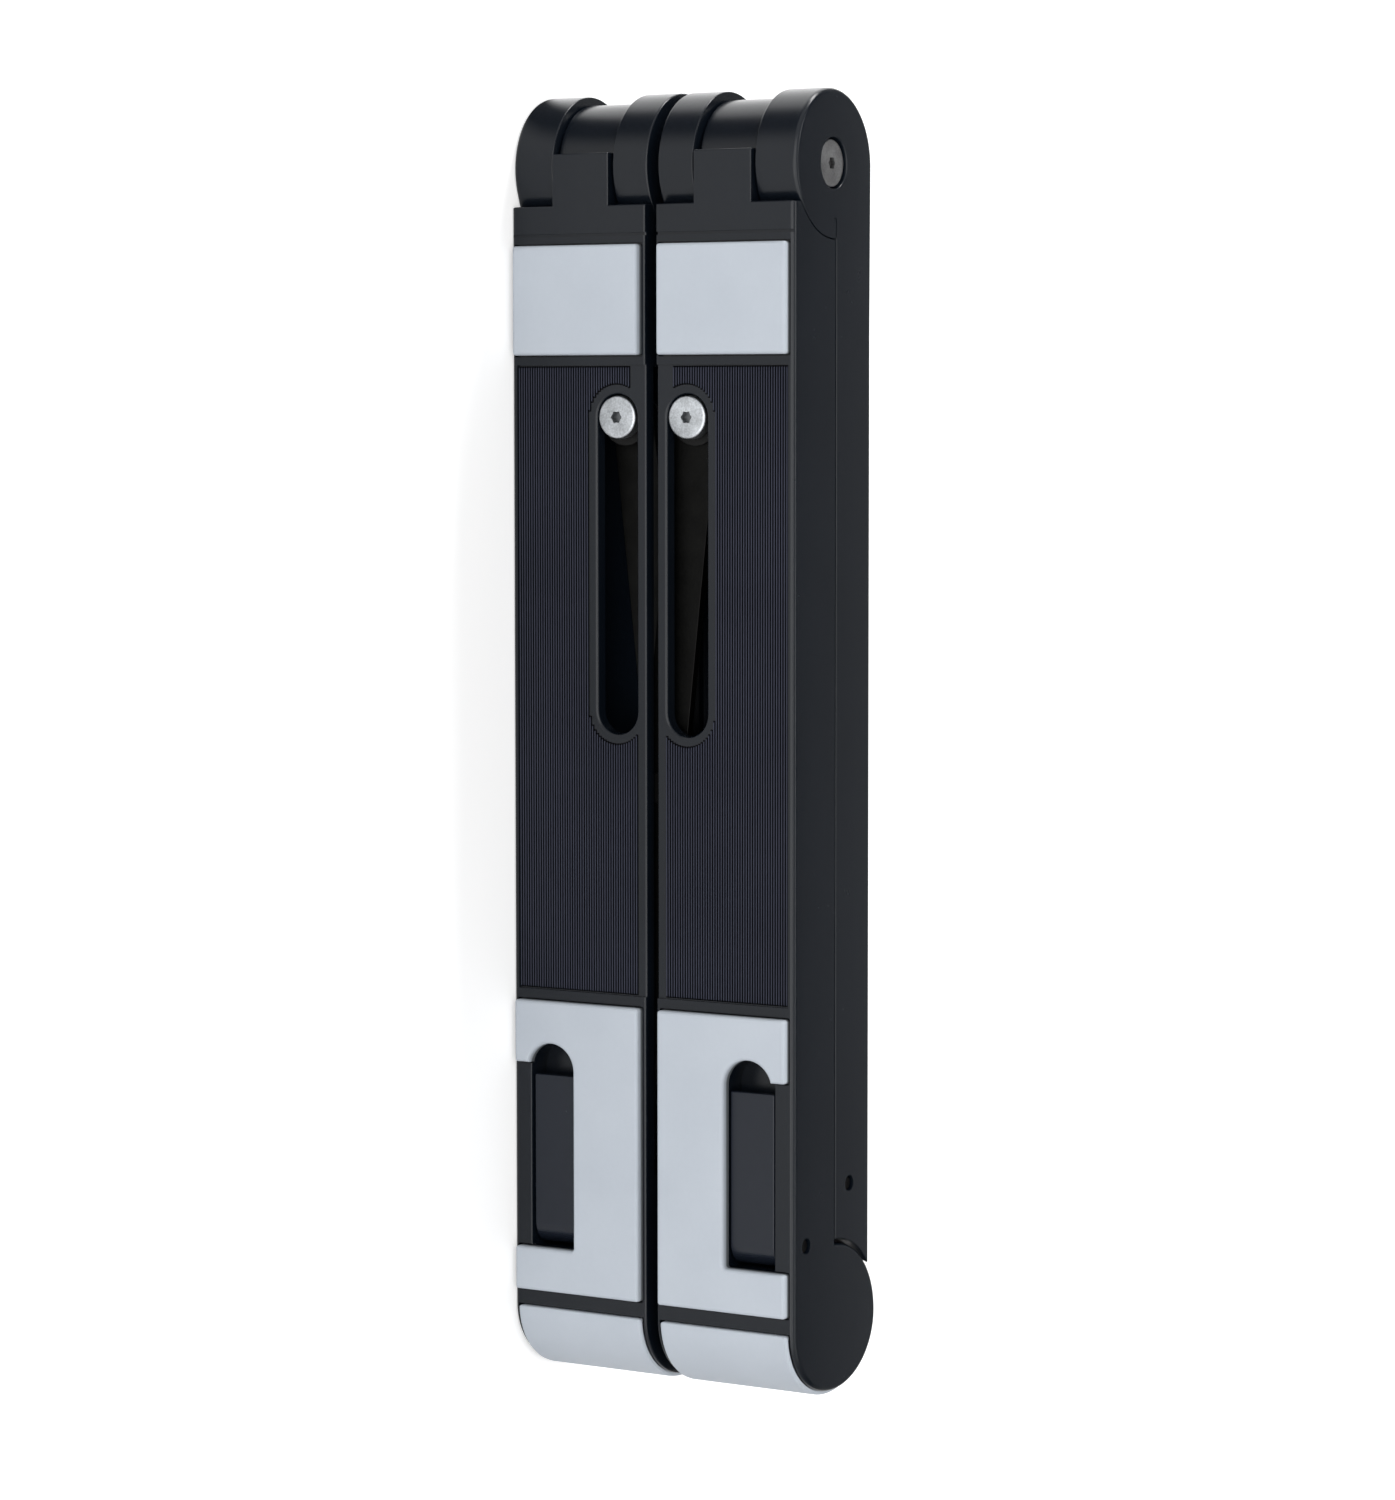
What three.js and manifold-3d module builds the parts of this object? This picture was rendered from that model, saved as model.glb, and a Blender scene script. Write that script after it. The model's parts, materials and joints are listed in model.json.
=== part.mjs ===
// Folding laptop stand, folded flat.
//
// Two mirror-image halves lie side by side. Each half is a front arm, which carries the laptop on
// soft pads, and a rear leg, hinged together at the top. A scissor linkage inside the arms joins
// the halves and lets them move apart. A small stop flips out near the foot of each arm.
//
// Every half is described in its own bench frame, in millimetres:
//   x  across the stand, 0 in the middle between the halves, positive towards the outside
//   y  along the arm, 0 at the centre of the rounded foot, positive towards the hinge
//   z  through the thickness, 0 on the hinge axis, positive towards the face with the pads
// The finished stand lies on its left side: +Z is across the stand, -X is the hinge end and
// -Y is the face with the pads.
import * as THREE from 'three';
import { mergeVertices } from 'three/addons/utils/BufferGeometryUtils.js';
import Module from 'manifold-3d';

const wasm = await Module();
wasm.setup();

// ---------------------------------------------------------------- driving dimensions (mm)
const INNER_X = 1.3; // half of the gap between the halves
const OUTER_X = 34.3; // outer side face
const HINGE_Y = 239.3; // hinge axis above the centre of the foot
const SLIP = 0.35; // clearance between neighbouring pieces

const FRONT_Z = 16.1; // face of the arm at the shoulder and around the front pad
const RIB_Z = 15.6; // ribbed face between the pads
const RIB_X1 = 32.9; // its outer end
const RIB_BOTTOM = 67.4;
const RIB_TOP = 198.4;
const ARM_BACK_Z = -0.6; // parting plane, arm side
const LEG_FRONT_Z = -1.1; // parting plane, leg side
const LEG_BACK_Z = -15.0;

const EAR_R = 15.3; // leg ears round the hinge
const EAR_SEAT_R = 15.8; // hollow in the arm that the ears turn in
const BARREL_R = 13.5; // arm barrel between the ears
const BARREL_SEAT_R = 14.1; // hollow in the leg that the barrel turns in
const TONGUE_X0 = 10.35;
const TONGUE_X1 = 24.1;
const EAR_IN_X1 = 9.75; // inner ear, from INNER_X
const EAR_OUT_X0 = 24.45; // outer ear, to OUTER_X
const SHOULDER_Y = 231.3;
const TONGUE_TOP_Y = 242.0;
const LEG_WEB_TOP_Y = 228.0;
const GROOVE_Y = 225.2;
const GROOVE_W = 0.6;
const GROOVE_D = 0.5;

const FOOT_Z = -0.8; // centre of the rounded foot
const FOOT_AZ = 16.9; // its half depth
const FOOT_BOTTOM = 14.4; // centre to the lowest point
const FOOT_TOP = 16.4; // centre to the highest point
const LEG_END_R = 17.3; // hollow end of the leg round the foot

const PLATE_BACK_Z = 12.8; // inside of the arm's front wall
const ARM_WALL_OUT = 2.4;
const ARM_WALL_IN = 1.8;
const CAVITY_Y0 = 64.0;
const CAVITY_Y1 = 214.0;
const LOWER_CAVITY_X1 = 17.2;
const LOWER_CAVITY_Y0 = 27.0;
const WINDOW_Z0 = 6.2; // opening of the inner side wall for the scissor bars
const WINDOW_Y0 = 29.5;
const WINDOW_Y1 = 198.0;
const COVER_T = 1.8; // back cover of an arm, front cover of a leg

const PAD_X0 = 2.35;
const PAD_X1 = 33.05;
const PAD_TOP_Z = 18.0;
const PAD_BOTTOM_Z = 15.4;
const PAD_POCKET_Z = 15.1;
const REAR_PAD_Y0 = 200.4;
const REAR_PAD_Y1 = 223.1;
const FRONT_PAD_Y0 = 3.4;
const FRONT_PAD_Y1 = 65.1;
const FOOT_PAD_TOP_Y = -0.3;
const FOOT_PAD_END = -2.55; // angle where the foot pad ends behind the foot, radians
const FOOT_PAD_OUT = 0.8;
const FOOT_PAD_IN = 0.8;
const FOOT_POCKET = 1.15;

const NOTCH_X0 = 18.45; // recess of the flip-out stop
const NOTCH_X1 = 29.85;
const NOTCH_Y0 = 12.6;
const NOTCH_ARCH_Y = 50.5;
const NOTCH_ARM_Y = 51.9; // where the outer limb of the front pad ends
const NOTCH_FLOOR_Z = 5.8; // under the knuckle of the stop
const NOTCH_SHELF_Z = 10.4; // under its flat part
const NOTCH_SHELF_Y = 27.0;

const STOP_X0 = 18.85;
const STOP_X1 = 29.45;
const STOP_TOP_Y = 49.3;
const STOP_PIVOT_Y = 17.7;
const STOP_PIVOT_Z = 10.9;
const STOP_KNUCKLE_R = 4.7;
const STOP_T = 3.6;
const STOP_PIN_R = 1.35;

const SLOT_X = 8.5; // slide screws, slots and scissor pivots
const SLOT_TOP_Y = 187.6;
const SLOT_BOTTOM_Y = 126.7;
const SLOT_R = 4.85;
const SLOT_RIM_R = 5.35;
const SLOT_RIM_D = 0.6;
const SCREW_HEAD_R = 4.45;
const SCREW_HEAD_TOP = 15.85;
const SHANK_R = 2.0;
const BAR_HOLE_R = 2.35;
const PIVOT_Y = 34.0;
const BAR_R = 5.0; // half width of a scissor bar
const FRONT_BAR_Z = [9.8, 11.8];
const BACK_BAR_Z = [7.4, 9.4];

const HINGE_PIN_R = 3.6;
const HINGE_BORE_R = 3.95;
const HINGE_HEAD_R = 4.85;
const HINGE_SINK_R = 5.25;
const HINGE_HEAD_FACE_X = 33.7;
const HINGE_HEAD_T = 2.2;

const LEG_PIN_Y = 28.3;
const LEG_PIN_Z = -6.8;
const LEG_PIN_R = 1.35;

const ROUND = 24; // sides of a full round
const SMALL_ROUND = 14; // sides of a small screw, pin or hole

// ---------------------------------------------------------------- materials
const paint = (color, roughness, metalness) =>
  new THREE.MeshStandardMaterial({ color, roughness, metalness });
const looks = {
  shell: () => paint(0x25272b, 0.5, 0.0),
  silicone: () => paint(0xbfc6cf, 0.7, 0.0),
  screw: () => paint(0xc4c9d2, 0.35, 1.0),
  pin: () => paint(0x6a6a6c, 0.4, 1.0),
  bar: () => paint(0x3a3d42, 0.45, 0.9),
  plastic: () => paint(0xe4e2da, 0.6, 0.0),
  rubber: () => paint(0x1b1c1e, 0.8, 0.0),
};

// ---------------------------------------------------------------- solids and booleans
function solid(geometry) {
  const bare = geometry.clone();
  bare.deleteAttribute('normal');
  bare.deleteAttribute('uv');
  const merged = mergeVertices(bare, 1e-5);
  const index = merged.index.array;
  return new wasm.Manifold(new wasm.Mesh({
    numProp: 3,
    vertProperties: new Float32Array(merged.attributes.position.array),
    triVerts: new Uint32Array(index),
  }));
}

function geometryOf(body) {
  const mesh = body.getMesh();
  const geometry = new THREE.BufferGeometry();
  const positions = new Float32Array(mesh.vertProperties);
  geometry.setAttribute('position', new THREE.BufferAttribute(positions, 3));
  geometry.setIndex(new THREE.BufferAttribute(new Uint32Array(mesh.triVerts), 1));
  geometry.computeVertexNormals();
  return geometry;
}

// Points of an arc in the plane of a profile, both ends included.
function arc(cx, cy, rx, ry, from, to, steps) {
  const points = [];
  for (let i = 0; i <= steps; i += 1) {
    const t = from + ((to - from) * i) / steps;
    points.push(new THREE.Vector2(cx + rx * Math.cos(t), cy + ry * Math.sin(t)));
  }
  return points;
}

const at = (x, y) => new THREE.Vector2(x, y);

function shapeFrom(points) {
  const shape = new THREE.Shape(points);
  shape.autoClose = true;
  return shape;
}

// A (z, y) profile drawn through the thickness and pulled across the half from x0 to x1.
function across(points, x0, x1) {
  const geometry = new THREE.ExtrudeGeometry(shapeFrom(points), {
    depth: x1 - x0,
    bevelEnabled: false,
    curveSegments: 1,
  });
  geometry.rotateY(-Math.PI / 2);
  geometry.translate(x1, 0, 0);
  return solid(geometry);
}

// An (x, y) outline pulled through the thickness from z0 to z1.
function through(points, z0, z1) {
  const geometry = new THREE.ExtrudeGeometry(shapeFrom(points), {
    depth: z1 - z0,
    bevelEnabled: false,
    curveSegments: 1,
  });
  geometry.translate(0, 0, z0);
  return solid(geometry);
}

function block(x0, x1, y0, y1, z0, z1) {
  const geometry = new THREE.BoxGeometry(x1 - x0, y1 - y0, z1 - z0);
  geometry.translate((x0 + x1) / 2, (y0 + y1) / 2, (z0 + z1) / 2);
  return solid(geometry);
}

// A round bar across the half, on the line (y, z).
function barX(radius, x0, x1, y, z, sides = ROUND) {
  const geometry = new THREE.CylinderGeometry(radius, radius, x1 - x0, sides);
  geometry.rotateZ(Math.PI / 2);
  geometry.translate((x0 + x1) / 2, y, z);
  return solid(geometry);
}

// A round bar through the thickness, on the line (x, y).
function barZ(radius, z0, z1, x, y, sides = ROUND) {
  const geometry = new THREE.CylinderGeometry(radius, radius, z1 - z0, sides);
  geometry.rotateX(Math.PI / 2);
  geometry.translate(x, y, (z0 + z1) / 2);
  return solid(geometry);
}

// Outline of a slot with two round ends on a vertical centre line.
function slotOutline(x, y0, y1, radius, steps = 12) {
  return [
    ...arc(x, y1, radius, radius, 0, Math.PI, steps),
    ...arc(x, y0, radius, radius, Math.PI, 2 * Math.PI, steps),
  ];
}

function cut(body, ...tools) {
  return tools.reduce((left, tool) => left.subtract(tool), body);
}

function join(body, ...others) {
  return others.reduce((left, other) => left.add(other), body);
}

// ---------------------------------------------------------------- the arm
function footOutline(grow = 0) {
  const lower = arc(FOOT_Z, 0, FOOT_AZ + grow, FOOT_BOTTOM + grow, 0, -Math.PI, 22);
  const upper = arc(FOOT_Z, 0, FOOT_AZ + grow, FOOT_TOP + grow, -Math.PI, -1.5 * Math.PI, 10);
  return [...lower, ...upper.slice(1)];
}

function armProfile() {
  const seatStart = Math.asin((SHOULDER_Y - HINGE_Y) / EAR_SEAT_R);
  const seatEnd = -Math.acos(ARM_BACK_Z / EAR_SEAT_R);
  return [
    at(FRONT_Z, SHOULDER_Y),
    ...footOutline(),
    ...arc(0, HINGE_Y, EAR_SEAT_R, EAR_SEAT_R, seatStart, seatEnd, 12).reverse(),
  ].reverse();
}

function tongue() {
  const neck = across([
    at(FRONT_Z, SHOULDER_Y - 9),
    at(FRONT_Z, TONGUE_TOP_Y),
    at(0, TONGUE_TOP_Y),
    at(ARM_BACK_Z, HINGE_Y - 4),
    at(ARM_BACK_Z, SHOULDER_Y - 9),
  ], TONGUE_X0, TONGUE_X1);
  return neck.add(barX(BARREL_R, TONGUE_X0, TONGUE_X1, HINGE_Y, 0, 40));
}

function notchOutline(grow, x1) {
  const cx = (NOTCH_X0 + NOTCH_X1) / 2;
  const r = (NOTCH_X1 - NOTCH_X0) / 2 + grow;
  return [
    at(NOTCH_X0 - grow, NOTCH_Y0 - grow),
    at(x1, NOTCH_Y0 - grow),
    ...(x1 > NOTCH_X1 + grow
      ? [at(x1, NOTCH_ARM_Y + grow), at(NOTCH_X1 + grow - 0.15, NOTCH_ARM_Y + grow)]
      : []),
    ...arc(cx, NOTCH_ARCH_Y, r, r, x1 > NOTCH_X1 + grow ? 0.3 : 0, Math.PI, 14),
  ];
}

function frontPadOutline(grow) {
  return [
    at(PAD_X0 - grow, FRONT_PAD_Y0 - grow),
    at(PAD_X1 + grow, FRONT_PAD_Y0 - grow),
    at(PAD_X1 + grow, FRONT_PAD_Y1 + grow),
    at(PAD_X0 - grow, FRONT_PAD_Y1 + grow),
  ];
}

// Band along the foot between two offsets from its surface.
function footBand(inner, outer, extra) {
  const start = Math.asin((FOOT_PAD_TOP_Y + extra) / (FOOT_BOTTOM + outer));
  const end = FOOT_PAD_END - extra / FOOT_AZ;
  const along = (offset) =>
    arc(FOOT_Z, 0, FOOT_AZ + offset, FOOT_BOTTOM + offset, start, end, 18);
  return [...along(outer), ...along(inner).reverse()].reverse();
}

const coverScrews = [82, 205];
const armRibs = [112, 158];

function armShell() {
  let body = join(across(armProfile(), INNER_X, OUTER_X), tongue());

  // ribbed face, groove under the shoulder and pockets for the pads
  body = cut(
    body,
    block(0, RIB_X1, RIB_BOTTOM, RIB_TOP, RIB_Z, FRONT_Z + 1),
    block(0, OUTER_X + 1, GROOVE_Y - GROOVE_W / 2, GROOVE_Y + GROOVE_W / 2,
      FRONT_Z - GROOVE_D, FRONT_Z + 1),
    block(PAD_X0 - SLIP, PAD_X1 + SLIP, REAR_PAD_Y0 - SLIP, REAR_PAD_Y1 + SLIP,
      PAD_POCKET_Z, FRONT_Z + 1),
    through(frontPadOutline(SLIP), PAD_POCKET_Z, FRONT_Z + 1).subtract(
      through(notchOutline(-SLIP, OUTER_X + 1), PAD_POCKET_Z - 1, FRONT_Z + 2)),
    across(footBand(-FOOT_POCKET, 3, SLIP), PAD_X0 - SLIP, PAD_X1 + SLIP),
  );

  // hollow inside, the window for the scissor bars and the slot for the slide screw
  const x0 = INNER_X + ARM_WALL_IN;
  const x1 = OUTER_X - ARM_WALL_OUT;
  let hollow = join(
    block(x0, x1, CAVITY_Y0, CAVITY_Y1, ARM_BACK_Z - 1, PLATE_BACK_Z),
    block(x0, LOWER_CAVITY_X1, LOWER_CAVITY_Y0, CAVITY_Y0 + 1, ARM_BACK_Z - 1, PLATE_BACK_Z),
  );
  for (const y of armRibs) {
    hollow = cut(hollow, block(LOWER_CAVITY_X1, x1 + 1, y - 0.9, y + 0.9, 2.2, PLATE_BACK_Z + 1));
  }
  for (const y of coverScrews) {
    hollow = cut(hollow, barZ(3.3, COVER_T + ARM_BACK_Z + SLIP, PLATE_BACK_Z + 1, 26, y, SMALL_ROUND));
  }
  body = cut(
    body,
    hollow,
    block(0, x0 + 0.5, WINDOW_Y0, WINDOW_Y1, WINDOW_Z0, PLATE_BACK_Z),
    through(slotOutline(SLOT_X, SLOT_BOTTOM_Y, SLOT_TOP_Y, SLOT_R), PLATE_BACK_Z - 1, RIB_Z + 1),
    through(slotOutline(SLOT_X, SLOT_BOTTOM_Y, SLOT_TOP_Y, SLOT_RIM_R),
      RIB_Z - SLOT_RIM_D, RIB_Z + 1),
  );
  for (const y of coverScrews) {
    body = cut(body, barZ(1.3, -1, 8.5, 26, y, 10));
  }

  // recess of the flip-out stop with the holes for its pin
  body = cut(
    body,
    through(notchOutline(0, NOTCH_X1), NOTCH_SHELF_Z, FRONT_Z + 1),
    block(NOTCH_X0, NOTCH_X1, NOTCH_Y0, NOTCH_SHELF_Y, NOTCH_FLOOR_Z, NOTCH_SHELF_Z + 1),
    barX(STOP_PIN_R + SLIP, NOTCH_X0 - 1.6, OUTER_X + 1, STOP_PIVOT_Y, STOP_PIVOT_Z, SMALL_ROUND),
  );

  // seat and hole of the fixed scissor pivot under the front pad
  body = cut(
    body,
    barZ(BAR_HOLE_R, 0, FRONT_Z, SLOT_X, PIVOT_Y, SMALL_ROUND),
    barZ(4.3, 13.4, FRONT_Z, SLOT_X, PIVOT_Y, 20),
  );

  // hinge bore and the seats of the two friction washers
  return cut(
    body,
    barX(HINGE_BORE_R, TONGUE_X0 - 1, TONGUE_X1 + 1, HINGE_Y, 0),
    barX(7.4, TONGUE_X0 - 1, TONGUE_X0 + 1.2, HINGE_Y, 0),
    barX(7.4, TONGUE_X1 - 1.2, TONGUE_X1 + 1, HINGE_Y, 0),
  );
}

function armCover() {
  const x0 = INNER_X + ARM_WALL_IN + SLIP;
  const x1 = OUTER_X - ARM_WALL_OUT - SLIP;
  const lowerX1 = LOWER_CAVITY_X1 - SLIP;
  const outline = [
    at(x0, LOWER_CAVITY_Y0 + SLIP),
    at(lowerX1, LOWER_CAVITY_Y0 + SLIP),
    at(lowerX1, CAVITY_Y0 + SLIP),
    at(x1, CAVITY_Y0 + SLIP),
    at(x1, CAVITY_Y1 - SLIP),
    at(x0, CAVITY_Y1 - SLIP),
  ];
  let body = through(outline, ARM_BACK_Z, ARM_BACK_Z + COVER_T);
  for (const y of coverScrews) {
    body = cut(body, barZ(1.55, -2, 3, 26, y, SMALL_ROUND),
      barZ(2.9, -2, ARM_BACK_Z + 0.9, 26, y, SMALL_ROUND));
  }
  return body;
}

// ---------------------------------------------------------------- the leg
function legProfile() {
  const endFront = Math.acos((LEG_FRONT_Z - FOOT_Z) / LEG_END_R);
  const endBack = Math.acos((LEG_BACK_Z - FOOT_Z) / LEG_END_R);
  return [
    ...arc(FOOT_Z, 0, LEG_END_R, LEG_END_R, endBack, endFront, 10),
    at(LEG_FRONT_Z, HINGE_Y),
    at(LEG_BACK_Z, HINGE_Y),
  ];
}

const legScrews = [52, 204];
const LEG_SCREW_X = 17.8;

function legShell() {
  const x0 = INNER_X + 2.3;
  const x1 = OUTER_X - 2.4;
  let body = join(
    across(legProfile(), INNER_X, OUTER_X),
    barX(EAR_R, INNER_X, EAR_IN_X1, HINGE_Y, 0, 48),
    barX(EAR_R, EAR_OUT_X0, OUTER_X, HINGE_Y, 0, 48),
  );
  let hollow = block(x0, x1, 36, 217, LEG_BACK_Z + 2.4, LEG_FRONT_Z + 1);
  for (const y of [90, 128, 166]) {
    hollow = cut(hollow, block(x0 - 1, x1 + 1, y - 0.9, y + 0.9, LEG_BACK_Z, LEG_FRONT_Z - 2.2));
  }
  for (const y of legScrews) {
    hollow = cut(hollow, barZ(3.3, LEG_BACK_Z, LEG_FRONT_Z - COVER_T - SLIP, LEG_SCREW_X, y, SMALL_ROUND));
  }
  body = cut(
    body,
    hollow,
    block(EAR_IN_X1, EAR_OUT_X0, LEG_WEB_TOP_Y, HINGE_Y + 20, -20, 20),
    barX(BARREL_SEAT_R, EAR_IN_X1, EAR_OUT_X0, HINGE_Y, 0, 36),
    barX(HINGE_BORE_R, 0, OUTER_X + 1, HINGE_Y, 0),
    barX(HINGE_SINK_R, HINGE_HEAD_FACE_X - HINGE_HEAD_T - SLIP, OUTER_X + 1, HINGE_Y, 0),
    barX(HINGE_SINK_R, 0, INNER_X + 2.9, HINGE_Y, 0),
    barX(LEG_PIN_R + SLIP, 0, OUTER_X + 1, LEG_PIN_Y, LEG_PIN_Z, SMALL_ROUND),
    across(legFootProfile(SLIP), 4.0, 31.6),
  );
  for (const y of legScrews) {
    body = cut(body, barZ(1.3, LEG_BACK_Z + 3.5, 0, LEG_SCREW_X, y, 10));
  }
  return body;
}

// The rubber foot in the hollow end of the leg: a curved band with a tang up to its pin.
function legFootProfile(grow) {
  const inner = grow > 0 ? LEG_END_R - 1 : LEG_END_R + 0.25;
  const outer = LEG_END_R + 2.6 + grow;
  const a0 = 1.75 - grow / 17;
  const a1 = 2.33 + grow / 17;
  const half = 2.6 + grow;
  const top = LEG_PIN_Y + 2.9 + grow;
  const outerArc = arc(FOOT_Z, 0, outer, outer, a0, a1, 8);
  const front = outerArc.filter((p) => p.x > LEG_PIN_Z + half);
  const back = outerArc.filter((p) => p.x < LEG_PIN_Z - half);
  const yAt = (z) => Math.sqrt(outer * outer - (z - FOOT_Z) ** 2);
  return [
    ...front,
    at(LEG_PIN_Z + half, yAt(LEG_PIN_Z + half)),
    at(LEG_PIN_Z + half, top),
    at(LEG_PIN_Z - half, top),
    at(LEG_PIN_Z - half, yAt(LEG_PIN_Z - half)),
    ...back,
    ...arc(FOOT_Z, 0, inner, inner, a0, a1, 8).reverse(),
  ];
}

function legCover() {
  const gap = SLIP;
  let body = block(INNER_X + 2.3 + gap, OUTER_X - 2.4 - gap, 36 + gap, 217 - gap,
    LEG_FRONT_Z - COVER_T, LEG_FRONT_Z);
  for (const y of legScrews) {
    body = cut(
      body,
      barZ(1.55, -5, 1, LEG_SCREW_X, y, SMALL_ROUND),
      barZ(2.9, LEG_FRONT_Z - 0.9, 1, LEG_SCREW_X, y, SMALL_ROUND),
    );
  }
  return body;
}

// ---------------------------------------------------------------- pads, stop and hardware
function rearPad() {
  return block(PAD_X0, PAD_X1, REAR_PAD_Y0, REAR_PAD_Y1, PAD_BOTTOM_Z, PAD_TOP_Z);
}

function frontPad() {
  return through(frontPadOutline(0), PAD_BOTTOM_Z, PAD_TOP_Z).subtract(
    through(notchOutline(0, OUTER_X + 1), PAD_BOTTOM_Z - 1, PAD_TOP_Z + 1));
}

function footPad() {
  return across(footBand(-FOOT_PAD_IN, FOOT_PAD_OUT, 0), PAD_X0, PAD_X1);
}

function stopTab() {
  const z1 = STOP_PIVOT_Z + STOP_KNUCKLE_R;
  const z0 = z1 - STOP_T;
  const body = across([
    ...arc(STOP_PIVOT_Z, STOP_PIVOT_Y, STOP_KNUCKLE_R, STOP_KNUCKLE_R,
      Math.PI / 2 + 0.9, 2 * Math.PI, 14),
    at(z1, STOP_TOP_Y),
    at(z1 - 1.2, STOP_TOP_Y),
    at(z0, STOP_TOP_Y - 1.6),
    at(z0, STOP_PIVOT_Y + 6.5),
  ], STOP_X0, STOP_X1);
  return body.subtract(
    barX(STOP_PIN_R + SLIP, STOP_X0 - 1, STOP_X1 + 1, STOP_PIVOT_Y, STOP_PIVOT_Z, SMALL_ROUND));
}

// A flat bar between two holes, lying along +y from the origin.
function scissorBar(length, z) {
  let body = through(slotOutline(0, 0, length, BAR_R, 12), z[0], z[1]);
  for (const y of [0, length / 2, length]) {
    body = body.subtract(barZ(BAR_HOLE_R, z[0] - 1, z[1] + 1, 0, y, SMALL_ROUND));
  }
  return body;
}

// Round-head screw along -z: head from z1 down by headT, shank down to z0, six-sided drive.
function screw(headR, headT, shankR, z0, z1, driveR, x = 0, y = 0) {
  const dome = 0.35;
  const profile = [
    at(0, z0),
    at(shankR, z0),
    at(shankR, z1 - headT),
    at(headR, z1 - headT),
    at(headR, z1 - dome),
    at(headR - dome, z1),
    at(0, z1),
  ];
  const geometry = new THREE.LatheGeometry(profile, headR > 3 ? 20 : SMALL_ROUND);
  geometry.rotateX(Math.PI / 2);
  geometry.translate(x, y, 0);
  const body = solid(geometry);
  return body.subtract(barZ(driveR, z1 - headT * 0.6, z1 + 1, x, y, 6));
}

function ring(outerR, innerR, z0, z1, sides = 20) {
  return barZ(outerR, z0, z1, 0, 0, sides).subtract(
    barZ(innerR, z0 - 1, z1 + 1, 0, 0, SMALL_ROUND));
}

const nut = (z0, z1) => ring(4.3, SHANK_R + SLIP, z0, z1, 6);

function hingePin() {
  const head0 = HINGE_HEAD_FACE_X - HINGE_HEAD_T;
  const body = join(
    barX(HINGE_HEAD_R, head0, HINGE_HEAD_FACE_X, HINGE_Y, 0, 28),
    barX(HINGE_PIN_R, 5.0, head0 + 0.5, HINGE_Y, 0, 20),
    barX(2.3, 1.9, 5.5, HINGE_Y, 0, SMALL_ROUND),
  );
  return body.subtract(barX(2.3, HINGE_HEAD_FACE_X - 1.3, OUTER_X + 1, HINGE_Y, 0, 6));
}

function hingeNut() {
  return barX(4.9, INNER_X + 0.5, INNER_X + 2.5, HINGE_Y, 0, 16).subtract(
    barX(2.3 + SLIP, 0, 6, HINGE_Y, 0, SMALL_ROUND));
}

function hingeWasher(x0) {
  return barX(7.0, x0, x0 + 0.55, HINGE_Y, 0, 20).subtract(
    barX(HINGE_BORE_R + 0.1, x0 - 1, x0 + 2, HINGE_Y, 0, SMALL_ROUND));
}

// ---------------------------------------------------------------- assembly
const stand = new THREE.Group();
const topY = HINGE_Y + EAR_R;
const bottomY = -(FOOT_BOTTOM + FOOT_PAD_OUT);
const backZ = FOOT_Z - FOOT_AZ;
stand.quaternion.setFromRotationMatrix(new THREE.Matrix4().makeBasis(
  new THREE.Vector3(0, 0, 1),
  new THREE.Vector3(-1, 0, 0),
  new THREE.Vector3(0, -1, 0),
));
stand.position.set((topY + bottomY) / 2, (PAD_TOP_Z + backZ) / 2, OUTER_X);

// side +1 is the right half, -1 its mirror image
function mirrored(geometry) {
  geometry.scale(-1, 1, 1);
  const index = geometry.index.array;
  for (let i = 0; i < index.length; i += 3) {
    const keep = index[i];
    index[i] = index[i + 1];
    index[i + 1] = keep;
  }
  geometry.computeVertexNormals();
  return geometry;
}

function add(name, body, look, side = 1) {
  const geometry = side < 0 ? mirrored(geometryOf(body)) : geometryOf(body);
  const mesh = new THREE.Mesh(geometry, look());
  mesh.name = name;
  stand.add(mesh);
  return mesh;
}

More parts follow.
